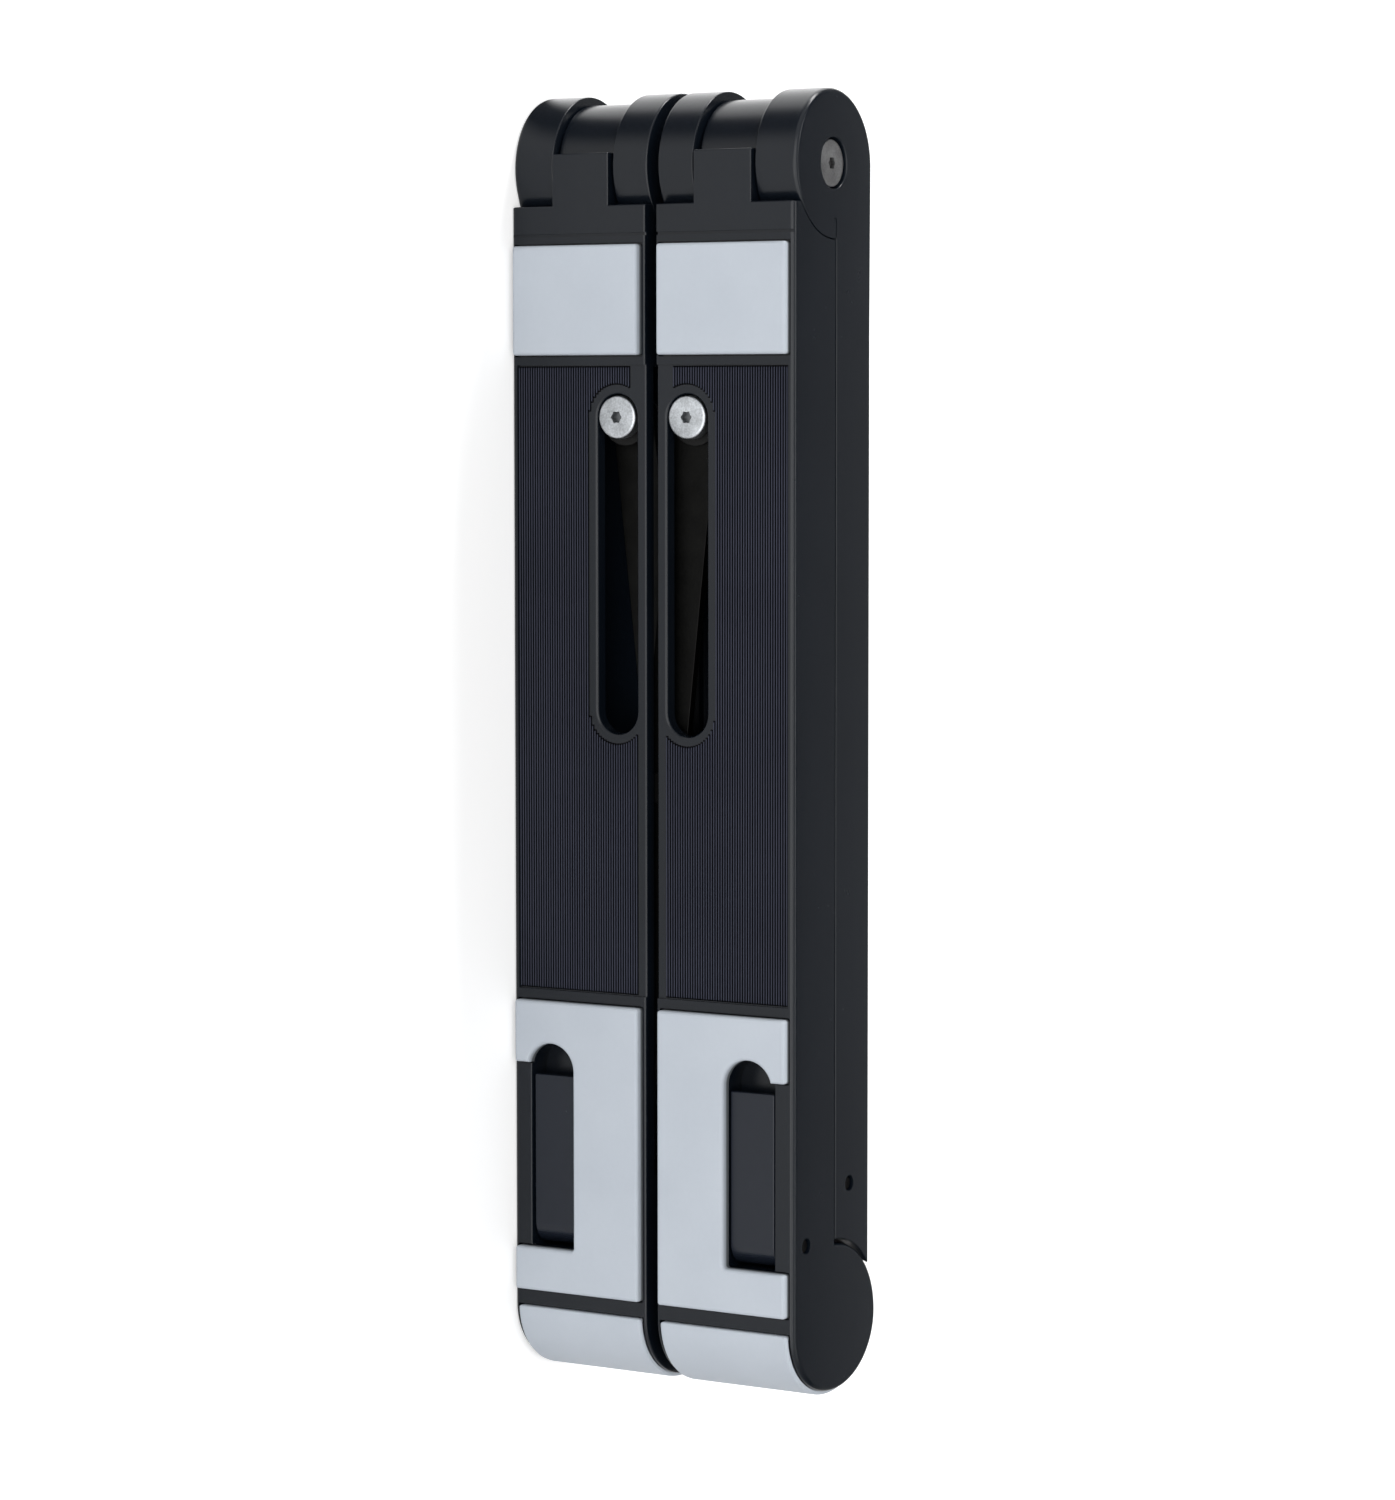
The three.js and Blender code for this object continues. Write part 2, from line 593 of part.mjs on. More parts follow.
for (const [side, name] of [[1, 'right'], [-1, 'left']]) {
  // arm
  add(`arm_shell_${name}`, armShell(), looks.shell, side);
  add(`arm_cover_${name}`, armCover(), looks.shell, side);
  coverScrews.forEach((y, i) => {
    const mesh = add(`arm_cover_screw_${name}_${i + 1}`,
      screw(2.5, 0.8, 0.95, 0, 8.2, 0.9), looks.screw);
    mesh.rotation.y = Math.PI;
    mesh.position.set(side * 26, y, 7.6 + 0.02);
  });
  add(`rear_pad_${name}`, rearPad(), looks.silicone, side);
  add(`front_pad_${name}`, frontPad(), looks.silicone, side);
  add(`foot_pad_${name}`, footPad(), looks.silicone, side);

  // flip-out stop
  add(`stop_tab_${name}`, stopTab(), looks.shell, side);
  add(`stop_pin_${name}`,
    barX(STOP_PIN_R, NOTCH_X0 - 1.2, OUTER_X - 0.5, STOP_PIVOT_Y, STOP_PIVOT_Z,
      SMALL_ROUND),
    looks.pin, side);

  // leg
  add(`leg_shell_${name}`, legShell(), looks.shell, side);
  add(`leg_cover_${name}`, legCover(), looks.shell, side);
  legScrews.forEach((y, i) => {
    const mesh = add(`leg_cover_screw_${name}_${i + 1}`,
      screw(2.5, 0.8, 0.95, 0, 8.2, 0.9), looks.screw);
    mesh.position.set(side * LEG_SCREW_X, y, LEG_FRONT_Z - 8.22);
  });
  const legFoot = across(legFootProfile(0), 4.0 + SLIP, 31.6 - SLIP).subtract(
    barX(LEG_PIN_R + SLIP, 0, OUTER_X, LEG_PIN_Y, LEG_PIN_Z, SMALL_ROUND));
  add(`leg_foot_${name}`, legFoot, looks.rubber, side);
  add(`leg_foot_pin_${name}`,
    barX(LEG_PIN_R, INNER_X + 0.5, OUTER_X - 0.5, LEG_PIN_Y, LEG_PIN_Z, SMALL_ROUND),
    looks.pin, side);

  // hinge
  add(`hinge_pin_${name}`, hingePin(), looks.pin, side);
  add(`hinge_nut_${name}`, hingeNut(), looks.screw, side);
  add(`hinge_washer_${name}_inner`, hingeWasher(TONGUE_X0 + 0.3), looks.plastic, side);
  add(`hinge_washer_${name}_outer`, hingeWasher(TONGUE_X1 - 0.85), looks.plastic, side);
}

// scissor linkage, folded: each bar runs from the fixed pivot of one arm to the other arm's slot
const rise = SLOT_TOP_Y - PIVOT_Y;
const barLength = Math.hypot(rise, 2 * SLOT_X);
const barAngle = Math.atan2(2 * SLOT_X, rise);

const linkage = [
  { bar: 'front', from: -1, z: FRONT_BAR_Z },
  { bar: 'back', from: 1, z: BACK_BAR_Z },
];
for (const { bar, from, z } of linkage) {
  const arm = from < 0 ? 'left' : 'right';
  const slot = from < 0 ? 'right' : 'left';
  const behindNut = [z[0] - 2.8, z[0] - 0.35];

  const link = new THREE.Group();
  link.position.set(from * SLOT_X, PIVOT_Y, 0);
  link.rotation.z = from * barAngle;
  stand.add(link);
  link.add(add(`scissor_bar_${bar}`, scissorBar(barLength, z), looks.bar));

  const slide = new THREE.Group();
  slide.position.set(0, barLength, 0);
  slide.rotation.z = -from * barAngle;
  link.add(slide);
  slide.add(
    add(`slide_screw_${slot}`,
      screw(SCREW_HEAD_R, 3.0, SHANK_R, behindNut[0] - 0.6, SCREW_HEAD_TOP, 1.9), looks.screw),
    add(`slide_washer_${slot}`, ring(5.9, SHANK_R + SLIP, 12.1, 12.5), looks.plastic),
    add(`slide_nut_${slot}`, nut(...behindNut), looks.screw),
  );

  const fixed = new THREE.Group();
  fixed.position.set(from * SLOT_X, PIVOT_Y, 0);
  stand.add(fixed);
  fixed.add(
    add(`pivot_screw_${arm}`, screw(3.9, 1.0, SHANK_R, behindNut[0] - 0.6, 14.6, 1.6), looks.screw),
    add(`pivot_nut_${arm}`, nut(...behindNut), looks.screw),
  );
  if (bar === 'back') {
    slide.add(add(`slide_spacer_${slot}`, ring(3.9, SHANK_R + SLIP, 9.75, 11.75), looks.plastic));
    fixed.add(add(`pivot_spacer_${arm}`, ring(3.9, SHANK_R + SLIP, 9.75, 12.45), looks.plastic));
  } else {
    // the rivet in the middle of the bars
    const rivet = join(
      barZ(3.4, 12.1, 12.5, 0, 0, 16),
      barZ(SHANK_R, 6.9, 12.3, 0, 0, SMALL_ROUND),
      barZ(3.4, 6.6, 7.05, 0, 0, 16),
    );
    const mesh = add('centre_rivet', rivet, looks.screw);
    mesh.position.set(0, barLength / 2, 0);
    link.add(mesh);
  }
}

export default stand;
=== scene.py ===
"""Folding laptop stand, folded flat and lying on its left side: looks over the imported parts.

Both halves are shaped in a bench frame in millimetres: x across from the middle of the stand to
its outside, y along the arm from the centre of the rounded foot to the hinge, z through the
thickness from the hinge axis to the face with the pads. place() carries a finished shape from
there to the right half (side 1) or, mirrored, to the left half (side -1).
"""

import json
import math

import bpy
import numpy as np
from mathutils import Matrix, Vector


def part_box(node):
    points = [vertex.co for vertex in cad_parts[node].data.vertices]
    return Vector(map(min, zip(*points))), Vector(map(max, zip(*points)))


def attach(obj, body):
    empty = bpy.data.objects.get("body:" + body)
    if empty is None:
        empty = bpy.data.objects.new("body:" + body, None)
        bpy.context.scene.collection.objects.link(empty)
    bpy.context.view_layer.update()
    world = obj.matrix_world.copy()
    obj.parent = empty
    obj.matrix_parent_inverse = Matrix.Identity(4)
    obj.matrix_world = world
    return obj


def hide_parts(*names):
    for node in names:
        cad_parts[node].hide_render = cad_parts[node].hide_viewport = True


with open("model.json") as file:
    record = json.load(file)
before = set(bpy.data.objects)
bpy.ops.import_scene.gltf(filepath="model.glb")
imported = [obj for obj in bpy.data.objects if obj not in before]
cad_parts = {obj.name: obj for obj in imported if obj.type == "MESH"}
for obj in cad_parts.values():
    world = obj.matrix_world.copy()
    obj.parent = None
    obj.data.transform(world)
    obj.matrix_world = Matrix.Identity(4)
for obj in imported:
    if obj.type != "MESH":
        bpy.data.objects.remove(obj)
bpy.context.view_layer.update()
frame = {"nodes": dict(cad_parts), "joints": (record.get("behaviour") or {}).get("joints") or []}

MM = 0.001
joints = {joint["name"]: Vector(joint["pos_m"]) for joint in frame["joints"]}
hinge = joints["leg_right_hinge"]
middle = (joints["leg_left_hinge"].z + hinge.z) / 2

# ---------------------------------------------------------------- sizes, in millimetres
HINGE_Y = 239.3
EAR_R = 15.3
EAR_SEAT_R = 15.5
BARREL_R = 13.5
BARREL_SEAT_R = 14.1
EAR_IN_X1 = 9.75
EAR_OUT_X0 = 24.45
TONGUE_X = (10.35, 24.1)
SHOULDER_Y = 231.3
TONGUE_TOP_Y = 242.0
WEB_TOP_Y = 228.0
GROOVE_Y = 225.2
GROOVE_HALF = 0.3
GROOVE_DEPTH = 0.5
HINGE_BORE_R = 3.95
HINGE_BORE_X = (9, 26)
PIN_HEAD_R = 4.85
PIN_HEAD_SEAT_R = 5.25
PIN_HEAD_SEAT_X = 31.15
NUT_SEAT_DEPTH = 2.9
WASHER_SEAT_R = 7.4
WASHER_SEAT_DEPTH = 1.2

FRONT_Z = 16.1
RIB_Z = 15.6
RIB_X0 = 3.2
RIB_X1 = 32.9
RIB_TOP_X0 = 5.0
RIB_Y = (67.4, 198.4)
RIB_PITCH = 0.6
RIB_HEIGHT = 0.32
RIB_END_GAP = 0.25
RIB_RAMP = 0.4
RIB_SHORTEST = 1.2
ARM_BACK_Z = -0.7
LEG_FRONT_Z = -0.98
LEG_BACK_Z = -15.0

FOOT_Z = -0.8
FOOT_DEPTH = 16.9
FOOT_BOTTOM = 14.4
FOOT_TOP = 16.4
LEG_END_R = 17.3
LEG_CAVITY_Y = (36, 217)
LEG_WALL_IN = 2.3
LEG_FOOT_THICK = 2.6
LEG_FOOT_ARC = (1.75, 2.33)
LEG_LINE_DEPTH = 0.25
LEG_LINE_Y = (223.0, 228.2)
FOOT_PAD_ARC = (-0.0197, -2.55)
FOOT_PAD_HALF = 0.8

SLOT_X = 8.5
SLOT_Y = (126.7, 187.6)
SLOT_R = 4.75
SLOT_RIM_R = 5.5
SLOT_BACK_Z = 11.5
RIBS_FROM_SLOT = 6.7
PIVOT_Y = 34.0
PIVOT_BORE_R = 2.35
PIVOT_HEAD_SEAT = (4.3, 13.4)

NOTCH_X = (18.45, 29.85)
NOTCH_Y0 = 12.6
NOTCH_ARCH_Y = 50.5
NOTCH_LIMB_Y = 51.9
NOTCH_FLOOR_Z = 5.8
NOTCH_SHELF = (27.0, 10.4)
NOTCH_RIM = 0.3
NOTCH_CORNER_R = 0.7
STOP_THICK = 3.6
POCKET_Z = 15.1
POCKET_GAP = 0.35
CROSS_BORE_R = 1.7
RECESS_R = 1.3

WALL_IN = 1.8
WALL_OUT = 2.4
CAVITY_TOP_Z = 12.8
CAVITY_Y = (64, 214)
LOWER_CAVITY_Y = (27, 65)
LOWER_CAVITY_X1 = 17.2
WINDOW_Y = (29.5, 198)
WINDOW_Z0 = 6.2

RIM_OUT = 1.2
RIM_IN = 0.5
RIM_EAR = 0.35
PAD_RIM = 0.8
PAD_CORNER_R = 0.6
SHARPEST = 0.02


def span(node):
    """Lowest and highest x, y and z of a CAD node in the bench frame."""
    low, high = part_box(node)
    return (
        ((low.z - middle) / MM, (high.z - middle) / MM),
        (HINGE_Y - (high.x - hinge.x) / MM, HINGE_Y - (low.x - hinge.x) / MM),
        ((hinge.y - high.y) / MM, (hinge.y - low.y) / MM),
    )


ARM_X = span("arm_shell_right")[0]


# ---------------------------------------------------------------- outlines
def arc(cx, cy, rx, ry, start, end, steps):
    """Points (cx + rx cos t, cy + ry sin t) for even steps of t from start to end."""
    t = np.linspace(start, end, steps + 1)
    return np.stack([cx + rx * np.cos(t), cy + ry * np.sin(t)], 1)


def soften(corners, radius, steps=5):
    """Swaps each corner that has a radius for a circle arc that touches both of its edges.

    The arc is the rational quadratic curve from one touching point to the other with the corner
    between them, weighted by the sine of half the corner's angle.
    """
    corner = np.asarray(corners, float)
    radius = np.broadcast_to(np.asarray(radius, float), len(corner))
    back = np.roll(corner, 1, 0) - corner
    ahead = np.roll(corner, -1, 0) - corner
    back /= np.linalg.norm(back, axis=1)[:, None]
    ahead /= np.linalg.norm(ahead, axis=1)[:, None]
    half = np.arccos(np.clip((back * ahead).sum(1), -1, 1)) / 2
    reach = (radius / np.tan(half))[:, None]
    t = np.linspace(0, 1, steps + 1)[None, :, None]
    weight = np.sin(half)[:, None, None]
    a, b, c = (corner + back * reach)[:, None], (corner + ahead * reach)[:, None], corner[:, None]
    top = (1 - t) ** 2 * a + 2 * t * (1 - t) * weight * c + t**2 * b
    bent = top / ((1 - t) ** 2 + 2 * t * (1 - t) * weight + t**2)
    keep = np.ones(bent.shape[:2], bool)
    keep[radius == 0, 1:] = False
    return bent[keep]


def mitres(outline):
    """Outward shift of every point that moves each edge of a closed outline out by one."""
    along = np.roll(outline, -1, 0) - outline
    along /= np.linalg.norm(along, axis=1)[:, None]
    x, y = outline.T
    turn = np.sign((x * np.roll(y, -1) - np.roll(x, -1) * y).sum())
    normal = np.stack([along[:, 1], -along[:, 0]], 1) * turn
    before = np.roll(normal, 1, 0)
    return (normal + before) / (1 + (normal * before).sum(1))[:, None]


def cornered(corners, radius):
    """Closed outline as a function of its inset: mitred edges, then softened corners.

    A corner that points outwards gets tighter by the inset, one that points inwards gets wider.
    """
    corners = np.asarray(corners, float)
    radius = np.broadcast_to(np.asarray(radius, float), len(corners))
    push = mitres(corners)
    before, after = corners - np.roll(corners, 1, 0), np.roll(corners, -1, 0) - corners
    bend = before[:, 0] * after[:, 1] - before[:, 1] * after[:, 0]
    x, y = corners.T
    way = np.sign(bend * (x * np.roll(y, -1) - np.roll(x, -1) * y).sum())

    def outline(inset=0.0):
        bent = np.where(radius > 0, np.maximum(radius - way * inset, SHARPEST), 0)
        return soften(corners - inset * push, bent)

    return outline


def rounded_box(x0, x1, y0, y1, radius):
    """Box (x, y) with equal round corners."""
    return cornered([(x0, y0), (x1, y0), (x1, y1), (x0, y1)], radius)


def slot_outline(x, y0, y1, radius, steps=18):
    """Slot (x, y): two half circles round its end points, joined by straight sides."""

    def outline(inset=0.0):
        r = radius - inset
        return np.concatenate(
            [
                arc(x, y1, r, r, 0, math.pi, steps),
                arc(x, y0, r, r, math.pi, 2 * math.pi, steps),
            ]
        )

    return outline


def circle(radius, steps=48):
    """Points (r cos t, r sin t) all round, without repeating the first."""
    return arc(0, 0, radius, radius, 0, 2 * math.pi * (1 - 1 / steps), steps - 1)


def six_lobes(radius, depth=0.16, steps=72):
    """Drive recess: a circle whose radius swings six times round by a share of itself."""
    t = np.linspace(0, 2 * np.pi, steps, endpoint=False)
    r = radius * (1 - depth / 2 + depth / 2 * np.cos(6 * t))
    return np.stack([r * np.cos(t), r * np.sin(t)], 1)


# ---------------------------------------------------------------- closed shapes
def loft(rings):
    """Skin over rings of equal point count, flat at both ends.

    Point j of row i makes a face with its neighbour in the row and the same two in the next row.
    """
    rows, n = rings.shape[:2]
    j = np.arange(n)
    k = (j + 1) % n
    base = n * np.arange(rows - 1)[:, None]
    skin = np.stack([base + j, base + k, base + n + k, base + n + j], -1).reshape(-1, 4)
    ends = [j[::-1].tolist(), (j + n * (rows - 1)).tolist()]
    return rings.reshape(-1, 3), skin.tolist() + ends


def reordered(points, order):
    """Points whose number i becomes bench axis order[i]."""
    rings = np.empty_like(points)
    rings[..., order] = points
    return rings


def stack(outline, heights, insets, order):
    """Outline repeated at each height, drawn in by each inset.

    order says which bench axes the outline's first and second numbers and the height are.
    """
    if not callable(outline):
        outline = cornered(outline, 0)
    flat = np.stack([outline(inset) for inset in insets])
    tall = np.broadcast_to(np.asarray(heights, float)[:, None, None], (*flat.shape[:2], 1))
    points = np.concatenate([flat, tall], 2)
    return loft(reordered(points, order))


def rounded(low, high, r_low, r_high, steps):
    """Heights and insets of a wall whose rims are quarter-rounds of the two radii."""
    t = np.linspace(0, np.pi / 2, steps + 1)
    heights, insets = [], []
    for end, radius, way in ((low, r_low, 1), (high, r_high, -1)):
        angle = (t if radius > 0 else t[-1:])[::way]
        heights.append(end + way * radius * (1 - np.cos(angle)))
        insets.append(radius * (1 - np.sin(angle)))
    return np.concatenate(heights), np.concatenate(insets)


def across(outline, x0, x1, r0=0.0, r1=0.0, steps=4):
    """A (z, y) outline pulled across the half."""
    return stack(outline, *rounded(x0, x1, r0, r1, steps), [2, 1, 0])


def through(outline, z0, z1, r0=0.0, r1=0.0, steps=4):
    """An (x, y) outline pulled through the thickness."""
    return stack(outline, *rounded(z0, z1, r0, r1, steps), [0, 1, 2])


def along(outline, y0, y1):
    """An (x, z) outline pulled along the arm."""
    return stack(outline, [y0, y1], [0, 0], [0, 2, 1])


def turned(profile, order, centre, steps=48):
    """Round piece: each (radius, height) of the profile is a circle round the given centre."""
    radius, height = np.asarray(profile, float).T
    ring = circle(1, steps)
    flat = radius[:, None, None] * ring[None] + np.asarray(centre, float)
    tall = np.broadcast_to(height[:, None, None], (*flat.shape[:2], 1))
    points = np.concatenate([flat, tall], 2)
    return loft(reordered(points, order))


def bar_across(radius, x0, x1, y, z, steps=48):
    """Round bar of one radius along x."""
    return turned([(radius, x0), (radius, x1)], [2, 1, 0], (z, y), steps)


def bar_through(radius, z0, z1, x, y, steps=32):
    """Round bar of one radius along z."""
    return turned([(radius, z0), (radius, z1)], [0, 1, 2], (x, y), steps)


def block(x0, x1, y0, y1, z0, z1):
    """Square-edged box between two corners."""
    return through([(x0, y0), (x1, y0), (x1, y1), (x0, y1)], z0, z1)


# ---------------------------------------------------------------- meshes
def outward(mesh):
    """Turns all faces round if the volume inside them comes out negative."""
    mesh.calc_loop_triangles()
    corner = np.empty(len(mesh.loop_triangles) * 3, np.int32)
    mesh.loop_triangles.foreach_get("vertices", corner)
    points = np.empty(len(mesh.vertices) * 3)
    mesh.vertices.foreach_get("co", points)
    a, b, c = points.reshape(-1, 3)[corner].reshape(-1, 3, 3).transpose(1, 0, 2)
    if (a * np.cross(b, c)).sum() < 0:
        mesh.flip_normals()


def made(name, shape):
    """Object with the mesh of a shape's points and faces, turned outwards."""
    mesh = bpy.data.meshes.new(name)
    mesh.from_pydata(shape[0], [], shape[1])
    outward(mesh)
    thing = bpy.data.objects.new(name, mesh)
    bpy.context.collection.objects.link(thing)
    return thing


def carve(base, joins=(), cuts=()):
    """Exact joins and cuts on a bench shape; gives the points and faces of the result."""
    body = made("bench", base)
    tools = []
    for operation, shapes in (("UNION", joins), ("DIFFERENCE", cuts)):
        for shape in shapes:
            tools.append(made("tool", shape))
            step = body.modifiers.new(operation, "BOOLEAN")
            step.operation, step.solver, step.object = operation, "EXACT", tools[-1]
    seen = body.evaluated_get(bpy.context.evaluated_depsgraph_get())
    mesh = seen.to_mesh()
    points = np.empty(len(mesh.vertices) * 3)
    mesh.vertices.foreach_get("co", points)
    faces = [face.vertices[:] for face in mesh.polygons]
    seen.to_mesh_clear()
    for thing in [body, *tools]:
        data = thing.data
        bpy.data.objects.remove(thing)
        bpy.data.meshes.remove(data)
    return points.reshape(-1, 3), faces


def place(points, side):
    """Bench millimetres to the stand's metres, mirrored across the middle for the left half."""
    x, y, z = np.asarray(points, float).T
    return np.stack(
        [hinge.x + (HINGE_Y - y) * MM, hinge.y - z * MM, middle + side * x * MM], 1
    )


def piece(name, shape, side, body, slot, finish, stands_for=(), angle=30, even=True):
    """A shape of the bench as a finished piece of one half.

    A shape is points and faces, and may add a number for every point and the name it is read by.
    Edges of more than the angle stay sharp, and even lets large faces lead the smooth shading.
    """
    points, faces, *shares = shape
    thing = made(name, (place(points, side), faces))
    thing.data.shade_smooth()
    thing.data.set_sharp_from_angle(angle=math.radians(angle))
    thing.data.materials.append(finish)
    if even:
        normals = thing.modifiers.new("Even faces", "WEIGHTED_NORMAL")
        normals.mode, normals.weight, normals.keep_sharp = "FACE_AREA", 100, True
    if shares:
        values, label = shares
        share = thing.data.attributes.new(label, "FLOAT", "POINT")
        share.data.foreach_set("value", values)
    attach(thing, body)
    if stands_for:
        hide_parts(*stands_for)


# ---------------------------------------------------------------- finishes
class Wire:
    """A socket of a finish that takes part in sums."""

    def __init__(self, finish, socket):
        self.finish, self.socket = finish, socket

    def maths(self, operation, a, b):
        """One sum, as a Math node."""
        return self.finish.node("ShaderNodeMath", {"operation": operation}, {0: a, 1: b})

    def __add__(self, other):
        return self.maths("ADD", self, other)

    def __sub__(self, other):
        return self.maths("SUBTRACT", self, other)

    def __rsub__(self, other):
        return self.maths("SUBTRACT", other, self)

    def __mul__(self, other):
        return self.maths("MULTIPLY", self, other)

    def __pow__(self, other):
        return self.maths("POWER", self, other)

    def largest(self, other):
        """The larger of the two."""
        return self.maths("MAXIMUM", self, other)

    def angle(self, other):
        """Angle of the vector with this for its y and the other for its x."""
        return self.maths("ARCTAN2", self, other)

    __radd__, __rmul__ = __add__, __mul__


class Finish:
    """A material, or the world, whose nodes are written as expressions."""

    def __init__(self, name, tree=None, **constants):
        if tree is None:
            self.material = bpy.data.materials.new(name)
            self.material.use_nodes = True
            tree = self.material.node_tree
        self.tree = tree
        self.shader = tree.nodes.get("Principled BSDF")
        for socket, value in constants.items():
            self.shader.inputs[socket.replace("_", " ")].default_value = value

    def feed(self, socket, value):
        """Links an expression to a socket, or writes a plain value on it."""
        if isinstance(value, Wire):
            self.tree.links.new(value.socket, socket)
        else:
            socket.default_value = value

    def node(self, kind, settings=None, sockets=None, output=0):
        """Any node: its settings first, then the values or expressions of its sockets."""
        node = self.tree.nodes.new(kind)
        for key, value in (settings or {}).items():
            setattr(node, key, value)
        for key, value in (sockets or {}).items():
            self.feed(node.inputs[key], value)
        return Wire(self, node.outputs[output])

    def spot(self):
        """Where a point of the surface is, in the stand's metres."""
        return self.node("ShaderNodeTexCoord", output="Object")

    def noise(self, scale, detail, roughness=0.5):
        """Noise with this many cells to a metre."""
        return self.node(
            "ShaderNodeTexNoise",
            {"noise_dimensions": "3D"},
            {"Vector": self.spot(), "Scale": scale, "Detail": detail, "Roughness": roughness},
        )

    def coordinate(self, axis):
        """One coordinate of that."""
        return self.node("ShaderNodeSeparateXYZ", sockets={0: self.spot()}, output=axis)

    def distance(self):
        """Its distance from the origin."""
        return self.node(
            "ShaderNodeVectorMath", {"operation": "LENGTH"}, {0: self.spot()}, output="Value"
        )

    def step(self, value, start, end, low=0.0, high=1.0):
        """Smooth change from low to high while the value goes from start to end."""
        return self.node(
            "ShaderNodeMapRange",
            {"clamp": True, "interpolation_type": "SMOOTHSTEP"},
            {"Value": value, "From Min": start, "From Max": end, "To Min": low, "To Max": high},
        )

    def rays(self, *kinds):
        """1 for a ray of one of the kinds, otherwise 0."""
        found = [self.node("ShaderNodeLightPath", output=f"Is {kind} Ray") for kind in kinds]
        for other in found[1:]:
            found[0] = found[0].largest(other)
        return found[0]

    def share(self, name):
        """The number that a piece carries for each of its points; 0 where it carries none."""
        return self.node("ShaderNodeAttribute", {"attribute_name": name}, output="Fac")

    def ramp(self, value, low, high):
        """The middle range of a noise, spread from low to high."""
        return self.node(
            "ShaderNodeMapRange",
            {"clamp": True},
            {"Value": value, "From Min": 0.3, "From Max": 0.7, "To Min": low, "To Max": high},
        )

    def blend(self, factor, a, b):
        """Colour a, going over to colour b as the factor rises to 1."""
        first, second = (c if isinstance(c, Wire) else (*c, 1) for c in (a, b))
        return self.node(
            "ShaderNodeMix",
            {"data_type": "RGBA"},
            {"Factor": factor, 6: first, 7: second},
            output=2,
        )

    def bump(self, height, strength, distance):
        """Tilts the surface as if a height from 0 to 1 stood out by the distance."""
        return self.node(
            "ShaderNodeBump",
            sockets={"Strength": strength, "Distance": distance, "Height": height},
        )

    def set(self, **sockets):
        """Feeds the shader's sockets, named with _ for a space, and gives the material."""
        for name, value in sockets.items():
            self.feed(self.shader.inputs[name.replace("_", " ")], value)
        return self.material


def moulded(name, dark, light, rough, grain, specular, painted_rib_light_and_shade=False):
    """Satin moulded plastic: slow drift of tone, spark-eroded grain and small shifts of gloss.

    Where it is ribbed, it goes from dark to light by the piece's own height: painted shade in the
    grooves and painted light on the crests.
    """
    f = Finish(name, Specular_IOR_Level=specular)
    slow = f.noise(38, 3)
    fine = f.noise(5200, 2)
    cloud = f.noise(420, 4, 0.6)
    # on ribs: painted shade in the grooves, painted light on the crests, by the crest share
    mix = f.share("crest") ** 3 * f.ramp(slow, 0.85, 1.0) if painted_rib_light_and_shade else f.ramp(slow, 0, 1)
    return f.set(
        Base_Color=f.blend(mix, dark, light),
        Roughness=f.ramp(cloud * 0.6 + slow * 0.4, rough - 0.01, rough + 0.015),
        Normal=f.bump(fine, grain, 0.00004),
    )


def soft_pad(name):
    """Matt silicone: nearly even tone, faint cloudiness and a very fine skin, with painted shade at
    its foot where it enters the arm.
    """
    f = Finish(name, Specular_IOR_Level=0.35)
    slow = f.noise(60, 2)
    cloud = f.noise(900, 4, 0.6)
    skin = f.noise(3400, 2)
    mix = f.ramp(slow * 0.7 + cloud * 0.3, 0, 1)
    tone = f.blend(mix, (0.490, 0.535, 0.594), (0.529, 0.574, 0.632))
    return f.set(
        # painted shade: the sides go dark grey towards where the pad enters the arm, by the piece's
        # "low" share
        Base_Color=f.blend(f.step(f.share("low"), 0.15, 0.6), tone, (0.11, 0.12, 0.13)),
        Roughness=f.ramp(cloud, 0.55, 0.68),
        Normal=f.bump(skin, 0.12, 0.00005),
    )


def metal(name, dark, light, rough, grain=0.08):
    """Satin metal: a fine blast shifts gloss and tone, and painted shade makes it darker where it
    is sunk in a drive recess.
    """
    f = Finish(name, Metallic=1.0)
    blast = f.noise(2600, 3, 0.6)
    slow = f.noise(240, 2)
    # painted shade: the dark colour fills the drive recess, deeper points darker; elsewhere dark
    # and light mix at random
    mix = f.ramp(slow * 0.5 + blast * 0.5, 0.2, 1) * (1 - f.share("sunk")) ** 2
    return f.set(
        Base_Color=f.blend(mix, dark, light),
        Roughness=f.ramp(blast, rough - 0.05, rough + 0.07),
        Normal=f.bump(blast, grain, 0.00002),
    )


def plain_polymer(name, dark, light, rough, grain):
    """Unpainted slip plastic or rubber: slow tone, fine pores."""
    f = Finish(name, Specular_IOR_Level=0.15)
    slow = f.noise(160, 3)
    pores = f.noise(2400, 3)
    return f.set(
        Base_Color=f.blend(f.ramp(slow, 0, 1), dark, light),
        Roughness=f.ramp(pores, rough - 0.06, rough + 0.06),
        Normal=f.bump(pores, grain, 0.00005),
    )


satin = {"rough": 0.26, "grain": 0.009, "specular": 0.32}
shell_black = moulded(
    "shell_black", (0.0033, 0.0055, 0.0093), (0.0045, 0.0070, 0.0115), **satin
)
# the shell's own plastic painted about twice as light for the stop: painted light
stop_black = moulded(
    "stop_black", (0.0088, 0.0118, 0.0190), (0.0100, 0.0133, 0.0212), **satin
)
